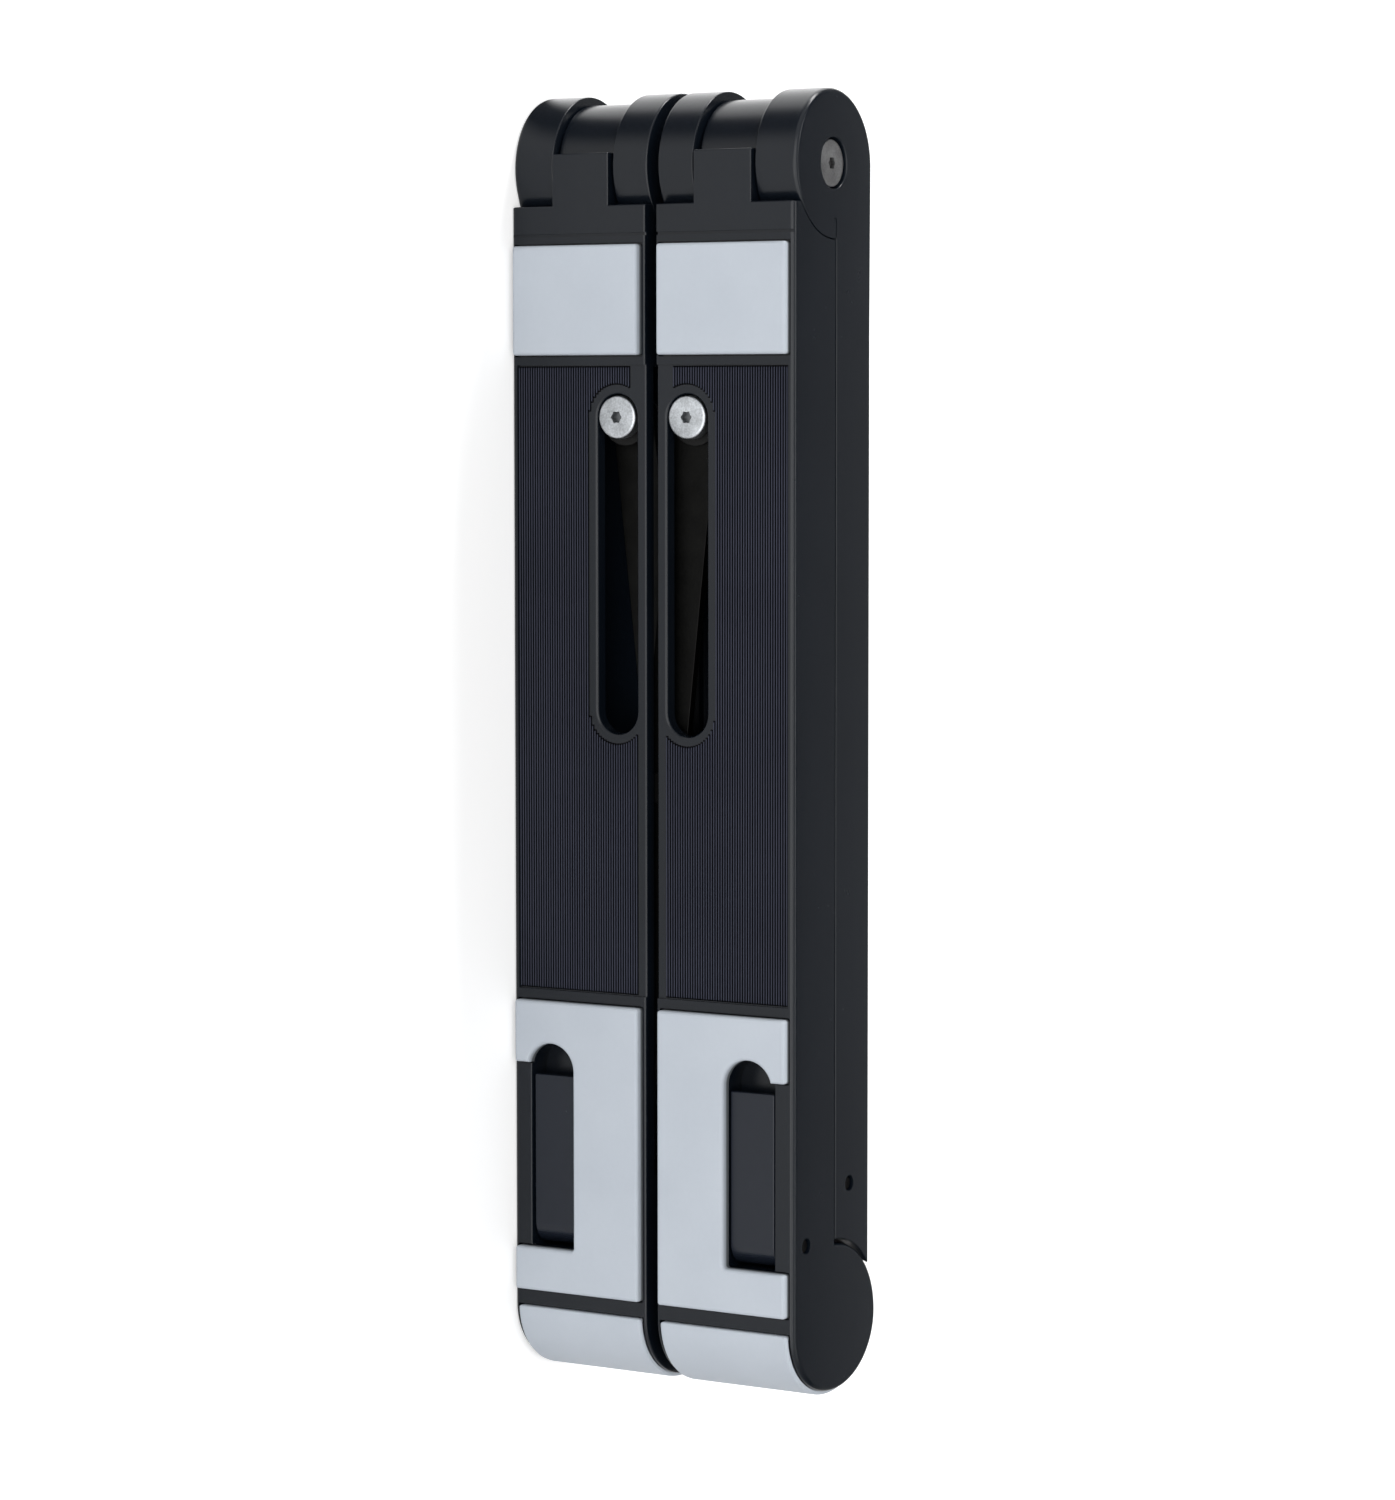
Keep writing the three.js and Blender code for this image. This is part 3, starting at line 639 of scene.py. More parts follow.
# ribs of the shell's plastic: grooves painted near black as painted shade, crests painted far
# lighter as painted light
rib_black = moulded(
    "rib_black", (0.0006, 0.0006, 0.0009), (0.053, 0.058, 0.082),
    rough=0.40, grain=0.02, specular=0.03, painted_rib_light_and_shade=True,
)
silicone_grey = soft_pad("silicone_grey")
screw_satin = metal("screw_satin", (0.13, 0.135, 0.14), (0.66, 0.69, 0.72), rough=0.36)
pin_satin = metal("pin_satin", (0.12, 0.12, 0.12), (0.50, 0.50, 0.51), rough=0.42)
bar_black = metal(
    "bar_black", (0.005, 0.005, 0.005), (0.0115, 0.0115, 0.011), rough=0.46, grain=0.15
)
slip_black = plain_polymer(
    "slip_black", (0.005, 0.005, 0.005), (0.008, 0.008, 0.008), rough=0.5, grain=0.10
)
rubber_black = plain_polymer(
    "rubber_black", (0.010, 0.0105, 0.0115), (0.018, 0.0185, 0.020), rough=0.78, grain=0.35
)


# ---------------------------------------------------------------- the arm
def arm_outline(inset=0.0):
    """Side view (z, y): front, rounded foot, flat back and the hollow seat of the ears.

    The inset shrinks the foot's radii, most at the front, widens the seat and shifts the straight
    sides; the arcs run between the angles at which they meet those sides.
    """
    front, shoulder, back = FRONT_Z - inset, SHOULDER_Y - 0.4 * inset, ARM_BACK_Z + 0.15 * inset
    seat = EAR_SEAT_R + 0.04 * inset
    meet = math.acos((back - FOOT_Z) / (FOOT_DEPTH - 0.7 * inset)) - 2 * math.pi
    seat_top = math.asin((shoulder - HINGE_Y) / seat)
    turn = np.concatenate([np.linspace(0, -math.pi, 45), np.linspace(-math.pi, meet, 21)[1:]])
    share = inset * (0.7 + 0.3 * np.cos(turn))
    tall = np.where(turn < -math.pi, FOOT_TOP, FOOT_BOTTOM)
    foot = np.stack(
        [FOOT_Z + (FOOT_DEPTH - share) * np.cos(turn), (tall - share) * np.sin(turn)], 1
    )
    outline = np.concatenate(
        [
            [(front, shoulder)],
            foot,
            arc(0, HINGE_Y, seat, seat, -math.acos(back / seat), seat_top, 24),
        ]
    )
    radius = np.zeros(len(outline))
    radius[[0, -1]] = max(0.45 - inset, SHARPEST), max(0.2 - inset, SHARPEST)
    return soften(outline, radius, 4)


def notch_outline():
    """Recess of the stop (x, y): straight sides under a round arch."""
    (x0, x1), r = NOTCH_X, (NOTCH_X[1] - NOTCH_X[0]) / 2
    arch = arc(sum(NOTCH_X) / 2, NOTCH_ARCH_Y, r, r, 0, math.pi, 28)
    outline = np.concatenate([[(x0, NOTCH_Y0), (x1, NOTCH_Y0)], arch])
    radius = np.zeros(len(outline))
    radius[:2] = NOTCH_CORNER_R
    return cornered(outline, radius)


def front_pad_outline(grow=0.0):
    """C shape (x, y) round the recess, open to the outside."""
    (x0, x1), (y0, y1), _ = span("front_pad_right")
    x0, x1, y0, y1 = x0 - grow, x1 + grow, y0 - grow, y1 + grow
    cx, r = sum(NOTCH_X) / 2, (NOTCH_X[1] - NOTCH_X[0]) / 2 - grow
    limb, floor = NOTCH_LIMB_Y - grow, NOTCH_Y0 + grow
    arch = arc(cx, NOTCH_ARCH_Y, r, r, math.pi, math.asin((limb - NOTCH_ARCH_Y) / r), 28)
    outline = np.concatenate(
        [
            [(x0, y0), (x1, y0), (x1, floor), (NOTCH_X[0] + grow, floor)],
            arch,
            [(x1, limb), (x1, y1), (x0, y1)],
        ]
    )
    radius = np.zeros(len(outline))
    radius[:4] = PAD_CORNER_R, PAD_CORNER_R, PAD_CORNER_R, NOTCH_CORNER_R
    radius[-3:] = PAD_CORNER_R
    return cornered(outline, radius)


def foot_band(inner, outer, extra=0.0, steps=40):
    """Band (z, y) between two offsets from the foot's round surface."""
    start, end = FOOT_PAD_ARC[0] + extra / FOOT_DEPTH, FOOT_PAD_ARC[1] - extra / FOOT_DEPTH

    def ring(offset, a, b):
        return arc(FOOT_Z, 0, FOOT_DEPTH + offset, FOOT_BOTTOM + offset, a, b, steps)

    outline = np.concatenate([ring(outer, start, end), ring(inner, end, start)])
    radius = np.zeros(len(outline))
    radius[[0, steps]] = 0.45 if extra == 0 else 0
    return cornered(outline, radius)


def face_cut(x1, y0, y1, z):
    """Lowers the front face to z, from the rounded rim beside the middle of the stand out to x1."""
    x0, r, t = ARM_X[0], RIM_IN, np.linspace(np.pi / 2, 0, 6)
    rim = np.stack([x0 + r - r * np.sin(t), z - r + r * np.cos(t)], 1)
    ends = [(x1, z), (x1, FRONT_Z + 2), (x0 - 2, FRONT_Z + 2), (x0 - 2, z - r)]
    return along(np.concatenate([rim, ends]), y0, y1)


def lipped(outline, z0, z1, lip):
    """Cutter for an opening whose wall runs up from z0 and rolls outwards by a quarter-round."""
    t = np.linspace(0, np.pi / 2, 5)
    return stack(
        outline,
        [z0, *(z1 - lip + lip * np.sin(t)), z1 + 1],
        [0, *(-lip * (1 - np.cos(t))), -lip],
        [0, 1, 2],
    )


def middle_of(node):
    """The y and z of a CAD node's middle."""
    _, y, z = span(node)
    return sum(y) / 2, sum(z) / 2


def arm_shape():
    """Side view pulled across, with tongue and barrel joined on and everything else cut out.

    The cuts are the ribs' field, the groove, the pads' pockets, the hollow, the slot, the stop's
    recess and the bores.
    """
    x0, x1 = ARM_X
    side = across(arm_outline, x0, x1, RIM_IN, RIM_OUT, 5)
    neck = cornered(
        [(FRONT_Z, TONGUE_TOP_Y), (FRONT_Z, 229.0), (RIB_Z, 228.0), (RIB_Z, 222.0),
         (3.0, 222.0), (0.0, HINGE_Y - 5), (0.0, TONGUE_TOP_Y)],
        [0.35, 0, 0, 0, 0, 0, 0],
    )
    tongue = across(neck, *TONGUE_X, RIM_EAR, RIM_EAR, 3)
    barrel = across(circle(BARREL_R, 72) + (0, HINGE_Y), *TONGUE_X, 0.3, 0.3, 3)

    (px0, px1), (py0, py1), _ = span("rear_pad_right")
    px0, px1, py0, py1 = px0 - POCKET_GAP, px1 + POCKET_GAP, py0 - POCKET_GAP, py1 + POCKET_GAP
    behind, inner = ARM_BACK_Z - 1, x0 + WALL_IN
    head_r, head_z = PIVOT_HEAD_SEAT
    shelf_y, shelf_z = NOTCH_SHELF
    cuts = [
        face_cut(RIB_X1, *RIB_Y, RIB_Z),
        face_cut(x1 + 1, GROOVE_Y - GROOVE_HALF, GROOVE_Y + GROOVE_HALF, FRONT_Z - GROOVE_DEPTH),
        block(px0, px1, py0, py1, POCKET_Z, FRONT_Z + 1),
        through(front_pad_outline(POCKET_GAP), POCKET_Z, FRONT_Z + 1),
        across(foot_band(-FOOT_PAD_HALF - POCKET_GAP, 3, POCKET_GAP), px0, px1),
        block(inner, x1 - WALL_OUT, *CAVITY_Y, behind, CAVITY_TOP_Z),
        block(inner, LOWER_CAVITY_X1, *LOWER_CAVITY_Y, behind, CAVITY_TOP_Z),
        block(0, inner + 0.5, *WINDOW_Y, WINDOW_Z0, CAVITY_TOP_Z),
        lipped(slot_outline(SLOT_X, *SLOT_Y, SLOT_R), SLOT_BACK_Z, RIB_Z, SLOT_RIM_R - SLOT_R),
        lipped(notch_outline(), shelf_z, FRONT_Z, NOTCH_RIM),
        block(*NOTCH_X, NOTCH_Y0, shelf_y, NOTCH_FLOOR_Z, shelf_z + 1),
        bar_across(CROSS_BORE_R, NOTCH_X[0] - 1.6, x1 + 1, *middle_of("stop_pin_right"), 32),
        bar_through(PIVOT_BORE_R, 0, FRONT_Z, SLOT_X, PIVOT_Y),
        bar_through(head_r, head_z, FRONT_Z, SLOT_X, PIVOT_Y),
        bar_across(HINGE_BORE_R, *HINGE_BORE_X, HINGE_Y, 0),
    ]
    for x, way in zip(TONGUE_X, (1, -1)):
        ends = sorted((x - way, x + way * WASHER_SEAT_DEPTH))
        cuts.append(bar_across(WASHER_SEAT_R, *ends, HINGE_Y, 0))
    return carve(side, [tongue, barrel], cuts)


def ribs_shape():
    """Corrugated face: one bar for each ridge, as wide as the pitch, drawn back round the slot.

    A bar's section steps from the groove floor up a steep flank to a rounded crest and back. It is
    lofted over four stations, and the crest falls to the floor at both ends. A bar that comes
    within R = RIBS_FROM_SLOT of the slot's centre line stops sqrt(R^2 - dx^2) before the slot's
    end. Also gives the share of the full height at every point.
    """
    x = np.arange(RIB_X1 - 0.4, RIB_X0, -RIB_PITCH)
    y0, y1 = RIB_Y[0] + RIB_END_GAP, RIB_Y[1] - RIB_END_GAP
    gap = np.sqrt(np.clip(RIBS_FROM_SLOT**2 - (x - SLOT_X) ** 2, 0, None))
    near = (np.abs(x - SLOT_X) < RIBS_FROM_SLOT) | (x < SLOT_X)
    above = near & (x > RIB_TOP_X0)
    bars = np.concatenate(
        [
            np.stack([x[~near], np.full((~near).sum(), y0), np.full((~near).sum(), y1)], 1),
            np.stack([x[near], np.full(near.sum(), y0), SLOT_Y[0] - gap[near]], 1),
            np.stack([x[above], SLOT_Y[1] + gap[above], np.full(above.sum(), y1)], 1),
        ]
    )
    bars = bars[bars[:, 2] - bars[:, 1] > RIB_SHORTEST]
    wide = RIB_PITCH * np.array([-0.5, -0.3, -0.26, -0.13, 0.13, 0.26, 0.3, 0.5, 0.5, -0.5])
    tall = np.array([0.0, 0.0, 0.72, 1.0, 1.0, 0.72, 0.0, 0.0, 0.0, 0.0])
    base = np.array([0.02] * 8 + [-0.05] * 2)
    stations = np.array([0.0, 1.0, 1.0, 0.0])[None, :, None]
    start, end = bars[:, 1], bars[:, 2]
    run = np.stack([start, start + RIB_RAMP, end - RIB_RAMP, end], 1)
    n, k = len(bars), len(wide)
    share = np.broadcast_to(tall * stations, (n, 4, k))
    rings = np.empty((*share.shape, 3))
    rings[..., 0] = bars[:, 0][:, None, None] + wide
    rings[..., 1] = run[:, :, None]
    rings[..., 2] = RIB_Z + base + RIB_HEIGHT * share
    _, faces = loft(rings[0])
    shift = 4 * k * np.arange(n)[:, None, None]
    skin = (np.array(faces[:-2])[None] + shift).reshape(-1, 4).tolist()
    caps = (np.array(faces[-2:])[None] + shift).reshape(-1, k).tolist()
    return rings.reshape(-1, 3), skin + caps, share.reshape(-1), "crest"


# ---------------------------------------------------------------- the leg
def leg_outline(inset=0.0):
    """Side view (z, y) of the leg below its ears: flat front and back, hollow end at the foot."""
    front, back = LEG_FRONT_Z - 0.15 * inset, LEG_BACK_Z + 0.4 * inset
    top, end = WEB_TOP_Y - inset, LEG_END_R + 0.15 * inset
    outline = np.concatenate(
        [
            arc(FOOT_Z, 0, end, end, math.acos((back - FOOT_Z) / end),
                math.acos((front - FOOT_Z) / end), 16),
            [(front, top), (back, top)],
        ]
    )
    radius = np.zeros(len(outline))
    radius[[0, -1]] = max(0.4 - inset, SHARPEST), max(0.6 - inset, SHARPEST)
    return soften(outline, radius)


def ear_outline(inset=0.0):
    """Side view (z, y) of an ear: a round that runs down into the flat front and back.

    The inset's share changes round the ear: full at the front, less over the top and little
    where the ear lies in the arm's seat.
    """
    front, back = LEG_FRONT_Z - 0.15 * inset, LEG_BACK_Z + 0.4 * inset
    end = -math.acos(front / (EAR_R - 0.15 * inset))
    turn = np.linspace(math.pi, end, 65)
    share = np.interp(turn, [end, -0.7, -0.4, 0.3, math.pi], [0.04, 0.04, 0.8, 1.0, 0.4])
    r = EAR_R - inset * share
    ring = np.stack([r * np.cos(turn), HINGE_Y + r * np.sin(turn)], 1)
    return np.concatenate([ring, [(front, 205 + inset), (back, 205 + inset)]])


def leg_shape():
    """Side view pulled across, with the two ears joined on and everything else cut out.

    The cuts are the hollow, the barrel's seat, the pin's bore with a seat for its head and its nut,
    the rubber foot's pocket and a fine hooked line on the outside where the ear meets the arm.
    """
    x0, x1 = ARM_X
    web = across(leg_outline, x0, x1, RIM_IN, RIM_OUT, 5)
    (fx0, fx1), _, _ = span("leg_foot_right")
    t = np.linspace(0, np.pi / 2, 5)
    seat, lip = PIN_HEAD_SEAT_R, 0.3
    rim = np.stack([seat + lip * (1 - np.cos(t)), x1 - lip + lip * np.sin(t)], 1)
    profile = [(seat, PIN_HEAD_SEAT_X), *rim, (seat + lip, x1 + 1)]
    sink = turned(profile, [2, 1, 0], (0, HINGE_Y), 64)
    line_x, (line_y0, line_y1) = (x1 - LEG_LINE_DEPTH, x1 + 1), LEG_LINE_Y
    hollow_z = (LEG_BACK_Z + WALL_OUT, LEG_FRONT_Z + 1)
    cuts = [
        block(x0 + LEG_WALL_IN, x1 - WALL_OUT, *LEG_CAVITY_Y, *hollow_z),
        bar_across(BARREL_SEAT_R, EAR_IN_X1 + 0.02, EAR_OUT_X0 - 0.02, HINGE_Y, 0, 72),
        bar_across(HINGE_BORE_R, 0, x1 + 1, HINGE_Y, 0),
        sink,
        bar_across(seat, 0, x0 + NUT_SEAT_DEPTH, HINGE_Y, 0, 64),
        bar_across(CROSS_BORE_R, 0, x1 + 1, *middle_of("leg_foot_pin_right"), 32),
        across(foot_pocket(), fx0 - POCKET_GAP, fx1 + POCKET_GAP),
        block(*line_x, line_y0, line_y1, LEG_FRONT_Z, ARM_BACK_Z),
        block(*line_x, line_y1 - 0.3, line_y1, ARM_BACK_Z - 0.02, ARM_BACK_Z + 1.5),
    ]
    ears = [
        across(ear_outline, x0, EAR_IN_X1, RIM_IN, RIM_EAR, 5),
        across(ear_outline, EAR_OUT_X0, x1, RIM_EAR, RIM_OUT, 5),
    ]
    return carve(web, ears, cuts)


def foot_pocket():
    """Room for the rubber foot (z, y): a curved band under the leg with a tang up to its pin."""
    pin_y, pin_z = middle_of("leg_foot_pin_right")
    inner, half = LEG_END_R - 1, LEG_FOOT_THICK + POCKET_GAP
    outer, gap_turn = LEG_END_R + half, POCKET_GAP / 17
    a0, a1 = LEG_FOOT_ARC[0] - gap_turn, LEG_FOOT_ARC[1] + gap_turn
    band = arc(FOOT_Z, 0, outer, outer, a0, a1, 16)
    edges = np.array([pin_z + half, pin_z - half])
    level = np.sqrt(outer**2 - (edges - FOOT_Z) ** 2)
    top = pin_y + 2.9 + POCKET_GAP
    return np.concatenate(
        [
            band[band[:, 0] > edges[0]],
            [(edges[0], level[0]), (edges[0], top), (edges[1], top), (edges[1], level[1])],
            band[band[:, 0] < edges[1]],
            arc(FOOT_Z, 0, inner, inner, a1, a0, 16),
        ]
    )


# ---------------------------------------------------------------- pads, stop and hardware
def flat_pad(outline, z0, z1):
    """Pad with a rounded rim, and a share for painted shade on its sides that grows from the rim
    down to where they enter the arm.
    """
    points, faces = through(outline, z0, z1, 0.1, PAD_RIM)
    # share of painted shade: 0 at the rim, 1 where the side enters the arm
    low = np.clip((z1 - PAD_RIM - points[:, 2]) / (z1 - PAD_RIM - z0), 0, 1)
    return points, faces, low, "low"


def rear_pad_shape():
    """Plain pad near the hinge."""
    (x0, x1), (y0, y1), (z0, z1) = span("rear_pad_right")
    return flat_pad(rounded_box(x0, x1, y0, y1, PAD_CORNER_R), z0, z1)


def front_pad_shape():
    """C-shaped pad round the stop."""
    _, _, (z0, z1) = span("front_pad_right")
    return flat_pad(front_pad_outline(), z0, z1)


def foot_pad_shape():
    """Pad wrapped over the rounded foot, half in the arm and half out of it."""
    (x0, x1), _, _ = span("foot_pad_right")
    return across(foot_band(-FOOT_PAD_HALF, FOOT_PAD_HALF), x0, x1, PAD_RIM, PAD_RIM)


def stop_shape():
    """Flat tab (z, y) that grows out of a round knuckle, with a bore for its pin."""
    (x0, x1), (_, y1), (_, z1) = span("stop_tab_right")
    py, pz = middle_of("stop_pin_right")
    knuckle, back = z1 - pz, z1 - STOP_THICK
    outline = np.concatenate(
        [
            arc(pz, py, knuckle, knuckle, math.pi / 2 + 0.9, 2 * math.pi, 28),
            [(z1, y1), (z1 - 1.2, y1), (back, y1 - 1.6), (back, py + 6.5)],
        ]
    )
    radius = np.zeros(len(outline))
    radius[-4:] = 0.4, 0.3, 0.6, 1.2
    tab = across(soften(outline, radius), x0, x1, 0.4, 0.4)
    return carve(tab, cuts=[bar_across(CROSS_BORE_R, x0 - 1, x1 + 1, py, pz, 32)])


def recessed(body, cutter, flat, centre, below):
    """A turned piece with its drive recess cut, and how deep each point lies in that recess.

    flat names the two bench axes of the head's face; below gives the depth of points as a share of
    the recess's own, which the metal finish turns into painted shade. Points outside the recess
    count as 0.
    """
    points, faces = carve(body, cuts=[cutter])
    inside = np.linalg.norm(points[:, flat] - np.array(centre), axis=1) < RECESS_R + 0.1
    return points, faces, np.where(inside, np.clip(below(points), 0, 1), 0), "sunk"


def slide_screw_shape(node):
    """Round head with a soft rim and a six-lobed recess, over its shank."""
    (x0, x1), (y0, y1), (z0, z1) = span(node)
    centre, r = ((x0 + x1) / 2, (y0 + y1) / 2), (x1 - x0) / 2
    t = np.linspace(0, np.pi / 2, 7)
    rim = np.stack([r - 0.6 + 0.6 * np.cos(t), z1 - 0.65 + 0.6 * np.sin(t)], 1)
    profile = [
        (1.7, z0), (2.0, z0 + 0.3), (2.0, z1 - 3.0), (r - 0.25, z1 - 3.0), (r, z1 - 2.75),
        *rim, (r * 0.55, z1 - 0.015), (0.4, z1),
    ]
    depth = 1.3
    recess = through(six_lobes(RECESS_R) + np.array(centre), z1 - depth, z1 + 1)
    head = turned(profile, [0, 1, 2], centre, 72)
    return recessed(head, recess, [0, 1], centre, lambda points: (z1 - points[:, 2]) / depth)


def hinge_pin_shape():
    """Flat head with a broken edge and a small six-lobed recess, stepped shaft behind it."""
    (x0, x1), _, _ = span("hinge_pin_right")
    r = PIN_HEAD_R
    t = np.linspace(0, np.pi / 2, 5)
    rim = np.stack([r - 0.3 + 0.3 * np.cos(t), x1 - 0.3 + 0.3 * np.sin(t)], 1)
    profile = [
        (2.0, x0), (2.3, x0 + 0.3), (2.3, 5.0), (3.6, 5.0), (3.6, x1 - 2.2), (r - 0.2, x1 - 2.2),
        (r, x1 - 2.0), *rim, (0.4, x1),
    ]
    depth, centre = 0.9, (0, HINGE_Y)
    recess = across(six_lobes(RECESS_R) + centre, x1 - depth, x1 + 1)
    pin = turned(profile, [2, 1, 0], centre, 72)
    return recessed(pin, recess, [2, 1], centre, lambda points: (x1 - points[:, 0]) / depth)


# ---------------------------------------------------------------- both halves
shapes = {
    "arm": arm_shape(),
    "ribs": ribs_shape(),
    "leg": leg_shape(),
    "rear_pad": rear_pad_shape(),
    "front_pad": front_pad_shape(),
    "foot_pad": foot_pad_shape(),
    "stop": stop_shape(),
    "hinge_pin": hinge_pin_shape(),
}
# shape, name of the piece, body, slot, finish and CAD node, with {} for the half
plan = [
    ("arm", "arm_body_{}", "arm_{}", "shell", shell_black, "arm_shell_{}"),
    ("ribs", "arm_ribs_{}", "arm_{}", "shell", rib_black, None),
    ("leg", "leg_body_{}", "leg_{}", "shell", shell_black, "leg_shell_{}"),
    ("rear_pad", "rear_pad_skin_{}", "arm_{}", "silicone", silicone_grey, "rear_pad_{}"),
    ("front_pad", "front_pad_skin_{}", "arm_{}", "silicone", silicone_grey, "front_pad_{}"),
    ("foot_pad", "foot_pad_skin_{}", "arm_{}", "silicone", silicone_grey, "foot_pad_{}"),
    ("stop", "stop_body_{}", "stop_{}", "shell", stop_black, "stop_tab_{}"),
    ("hinge_pin", "hinge_pin_body_{}", "leg_{}", "pin_steel", pin_satin, "hinge_pin_{}"),
]
slide_body = {"right": "scissor_front", "left": "scissor_back"}
for side, half in ((1, "right"), (-1, "left")):
    for kind, name, body, slot, finish, node in plan:
        nodes = [node.format(half)] if node else []
        # the ribs stand for no node, and keep more of their edges
        smooth = {} if node else {"angle": 50, "even": False}
        piece(
            name.format(half), shapes[kind], side, body.format(half), slot, finish, nodes, **smooth
        )
    node = f"slide_screw_{half}"
    bench = slide_screw_shape(node)
    piece(f"{node}_body", bench, 1, slide_body[half], "screw_steel", screw_satin, [node])

# ---------------------------------------------------------------- CAD nodes that stay
finish_of = {
    "arm_cover": shell_black,
    "leg_cover": shell_black,
    "arm_cover_screw": screw_satin,
    "leg_cover_screw": screw_satin,
    "stop_pin": bar_black,
    "leg_foot": rubber_black,
    "leg_foot_pin": bar_black,
    "hinge_nut": screw_satin,
    "hinge_washer": slip_black,
    "slide_washer": slip_black,
    "slide_spacer": slip_black,
    "pivot_spacer": slip_black,
    "slide_nut": screw_satin,
    "pivot_nut": screw_satin,
    "pivot_screw": screw_satin,
    "scissor_bar": bar_black,
    "centre_rivet": bar_black,
}
for name, node in frame["nodes"].items():
    # the longest name that the node's own name starts with
    kinds = [kind for kind in finish_of if name.startswith(kind)]
    if not kinds:
        continue
    finish = finish_of[max(kinds, key=len)]
    for spot in node.material_slots:
        spot.material = finish
    weld = node.modifiers.new("Weld", "WELD")
    weld.merge_threshold = 0.00001
    edge = node.modifiers.new("Edges", "BEVEL")
    edge.width, edge.segments, edge.limit_method = 0.0002, 2, "ANGLE"
    edge.angle_limit, edge.use_clamp_overlap = math.radians(40), True

# ---------------------------------------------------------------- floor, light and camera
# The camera sees the floor glow, less so near the object, where its shadow falls. A mirror ray sees
# a painted reflection on it: a dark band and a bright band, each over a range of angles round the
# hinge end, and elsewhere a faint glow that only mirror rays see.
floor_mesh = bpy.data.meshes.new("floor")
floor_mesh.from_pydata([(-8, -8, 0), (8, -8, 0), (8, 8, 0), (-8, 8, 0)], [], [(0, 1, 2, 3)])
floor = bpy.data.objects.new("floor", floor_mesh)
bpy.context.collection.objects.link(floor)
paper = Finish("paper", Specular_IOR_Level=0.1, Roughness=0.9, Emission_Strength=1.0)
seen = paper.rays("Camera", "Transmission")
mirrored = paper.rays("Glossy")
beyond = hinge.x - paper.coordinate("X")
turn = beyond.angle(0 - paper.coordinate("Y"))
glow = paper.step(paper.distance(), 0.15, 0.70, 0.47, 0.72)
painted_dark_reflection = paper.step(turn, 0.45, 0.95) * paper.step(turn, 1.30, 1.65, 1.0, 0.0)
painted_bright_reflection = paper.step(turn, 1.35, 1.75) * paper.step(turn, 2.6, 3.0, 1.0, 0.0)
# painted reflection: the dark base colour and the glows that only mirror rays see
paper.set(
    Base_Color=paper.blend(mirrored * painted_dark_reflection, (0.80, 0.80, 0.80), (0.10, 0.10, 0.10)),
    Emission_Color=seen * glow + mirrored * (1 - painted_dark_reflection) * 0.30 + mirrored * painted_bright_reflection * 0.92,
)
floor_mesh.materials.append(paper.material)

# The camera sees white all round. A mirror ray sees a painted reflection, white at the camera's end
# and dark at the other, and all other light from the world is an even grey.
world = bpy.data.worlds.new("studio")
world.use_nodes = True
bpy.context.scene.world = world
sky = Finish("studio", world.node_tree)
way = sky.node("ShaderNodeTexCoord", output="Generated")
front = sky.node("ShaderNodeSeparateXYZ", sockets={0: way}, output="Y")
# painted reflection: a gradient from the front to the back that only mirror rays see
wall = sky.step(front, -0.45, 0.55, 1.0, 0.02)
seen = sky.rays("Camera", "Transmission")
mirrored = sky.rays("Glossy")
backdrop = world.node_tree.nodes["Background"]
backdrop.inputs["Color"].default_value = (1, 1, 1, 1)
sky.feed(
    backdrop.inputs["Strength"],
    seen + (1 - seen) * (mirrored * wall + (1 - mirrored) * 0.36),
)


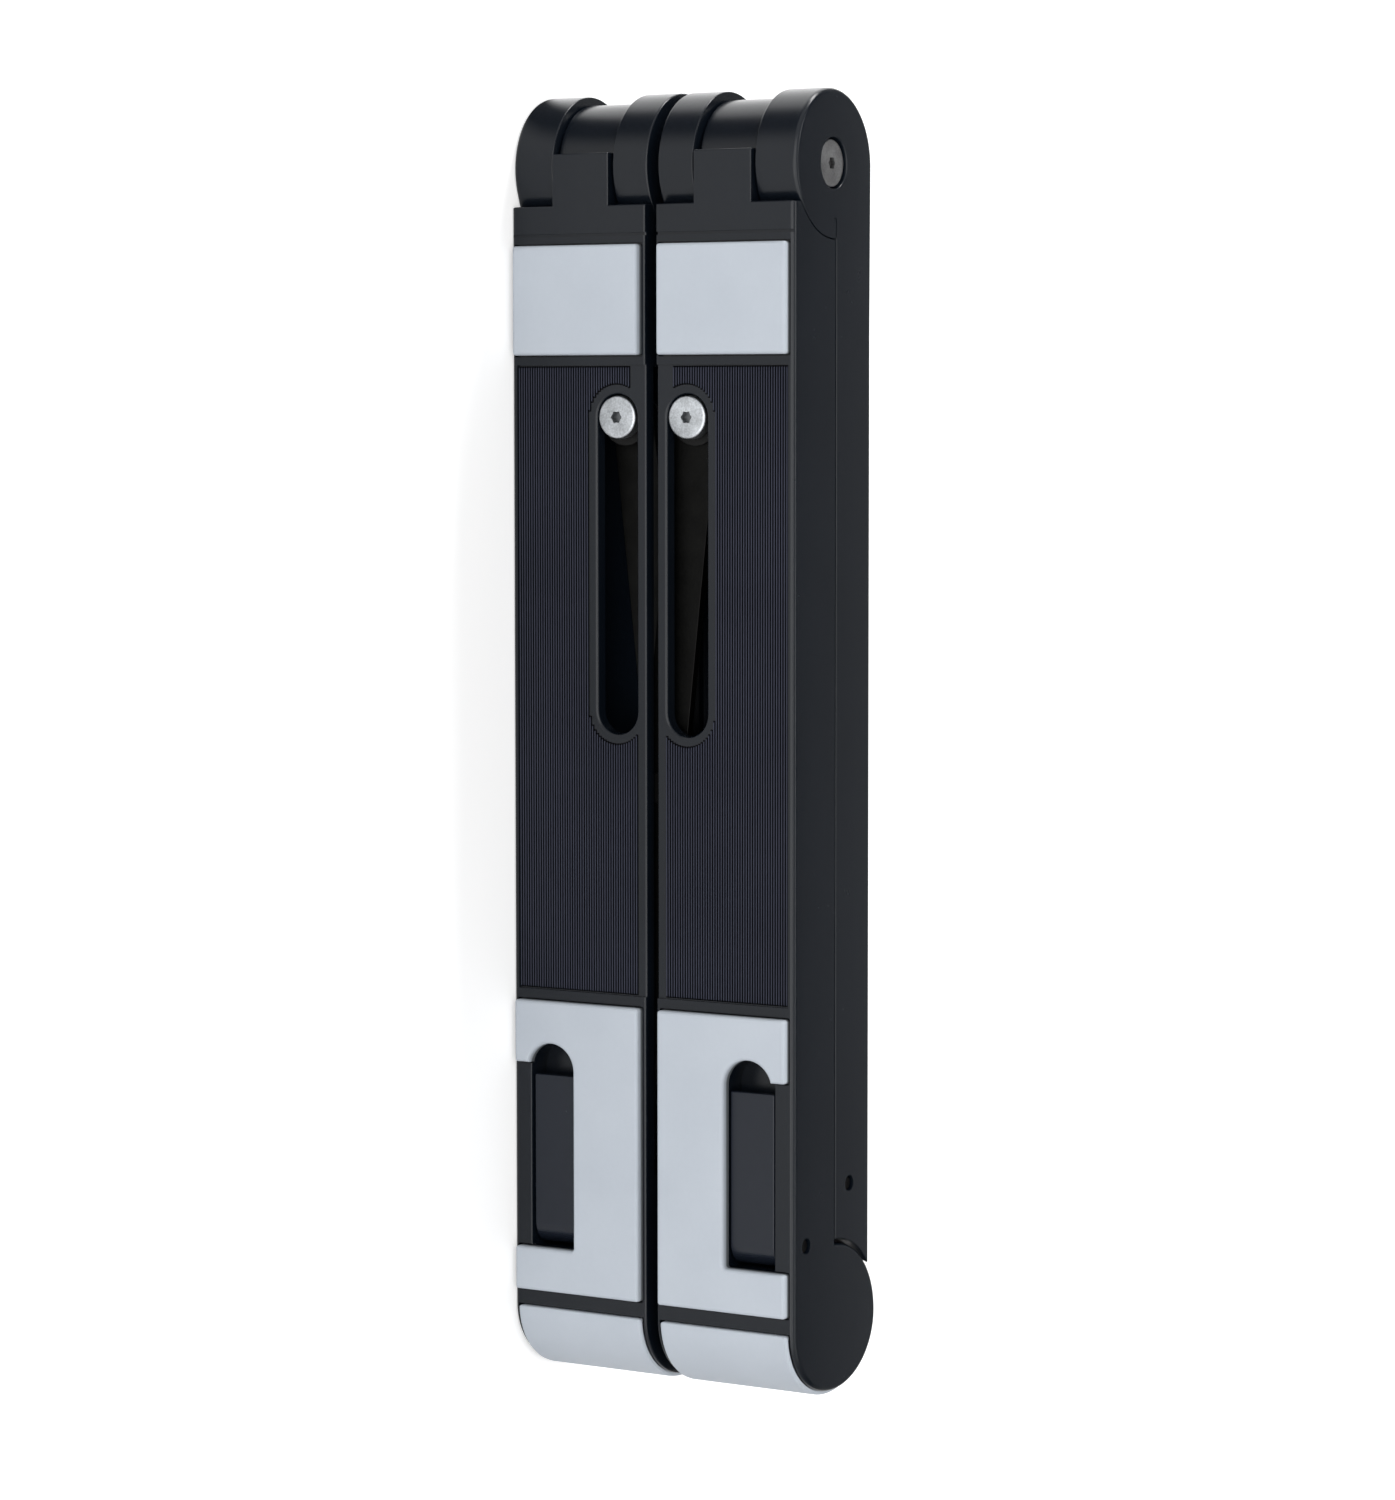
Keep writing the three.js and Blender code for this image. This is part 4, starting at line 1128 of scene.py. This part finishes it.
def softbox(name, spot, aim, size, watts):
    """Rectangular lamp at a spot, turned to face its aim."""
    lamp = bpy.data.lights.new(name, "AREA")
    lamp.shape, lamp.size, lamp.size_y = "RECTANGLE", *size
    lamp.energy = watts
    thing = bpy.data.objects.new(name, lamp)
    thing.location = spot
    thing.rotation_euler = (Vector(aim) - Vector(spot)).to_track_quat("-Z", "Y").to_euler()
    bpy.context.collection.objects.link(thing)
    return thing


softbox("key", (-0.45, -1.20, 0.90), (0, 0, 0.03), (0.9, 0.9), 4.75)
softbox("front_fill", (0.55, -1.30, 0.75), (0, 0, 0.03), (1.2, 1.2), 5.9)
softbox("edge_strip", (0, -0.60, 1.00), (0, 0, 0.05), (1.4, 0.12), 2.0)
softbox("low_fill", (0.10, -1.50, 0.40), (0, 0, 0.03), (0.8, 0.8), 2.2)
softbox("top_strip", (-0.95, 0.30, 0.30), (-0.12, 0, 0.04), (0.2, 0.5), 6)
softbox("rim_strip", (0.0, 0.34, 1.05), (0, 0, 0.05), (1.4, 0.16), 3.6)
softbox("side_strip", (0, 0.32, 0.205), (0, 0, 0.07), (1.2, 0.03), 0.17).visible_camera = False

# The camera stands at a bench point and looks down the bench's z, turned by its three angles.
camera = bpy.data.cameras.new("camera")
camera.sensor_width, camera.lens = 36.0, 111.490
standpoint = (511.262, 191.309, 825.895)
yaw, pitch, roll = 0.55307, 0.07538, -0.00069
level = math.cos(pitch)
ahead = Vector((-math.sin(yaw) * level, -math.sin(pitch), -math.cos(yaw) * level))
right = Vector((math.cos(yaw), 0, -math.sin(yaw)))
up = right.cross(ahead)
right, up = (
    right * math.cos(roll) + up * math.sin(roll),
    up * math.cos(roll) - right * math.sin(roll),
)
bench_to_stand = Matrix(((0, -1, 0), (0, 0, -1), (1, 0, 0)))
axes = Matrix([bench_to_stand @ v for v in (right, up, -ahead)]).transposed()
eye = bpy.data.objects.new("camera", camera)
eye.matrix_world = Matrix.Translation(place([standpoint], 1)[0]) @ axes.to_4x4()
bpy.context.collection.objects.link(eye)
bpy.context.scene.camera = eye
bpy.context.scene.view_settings.view_transform = "Standard"
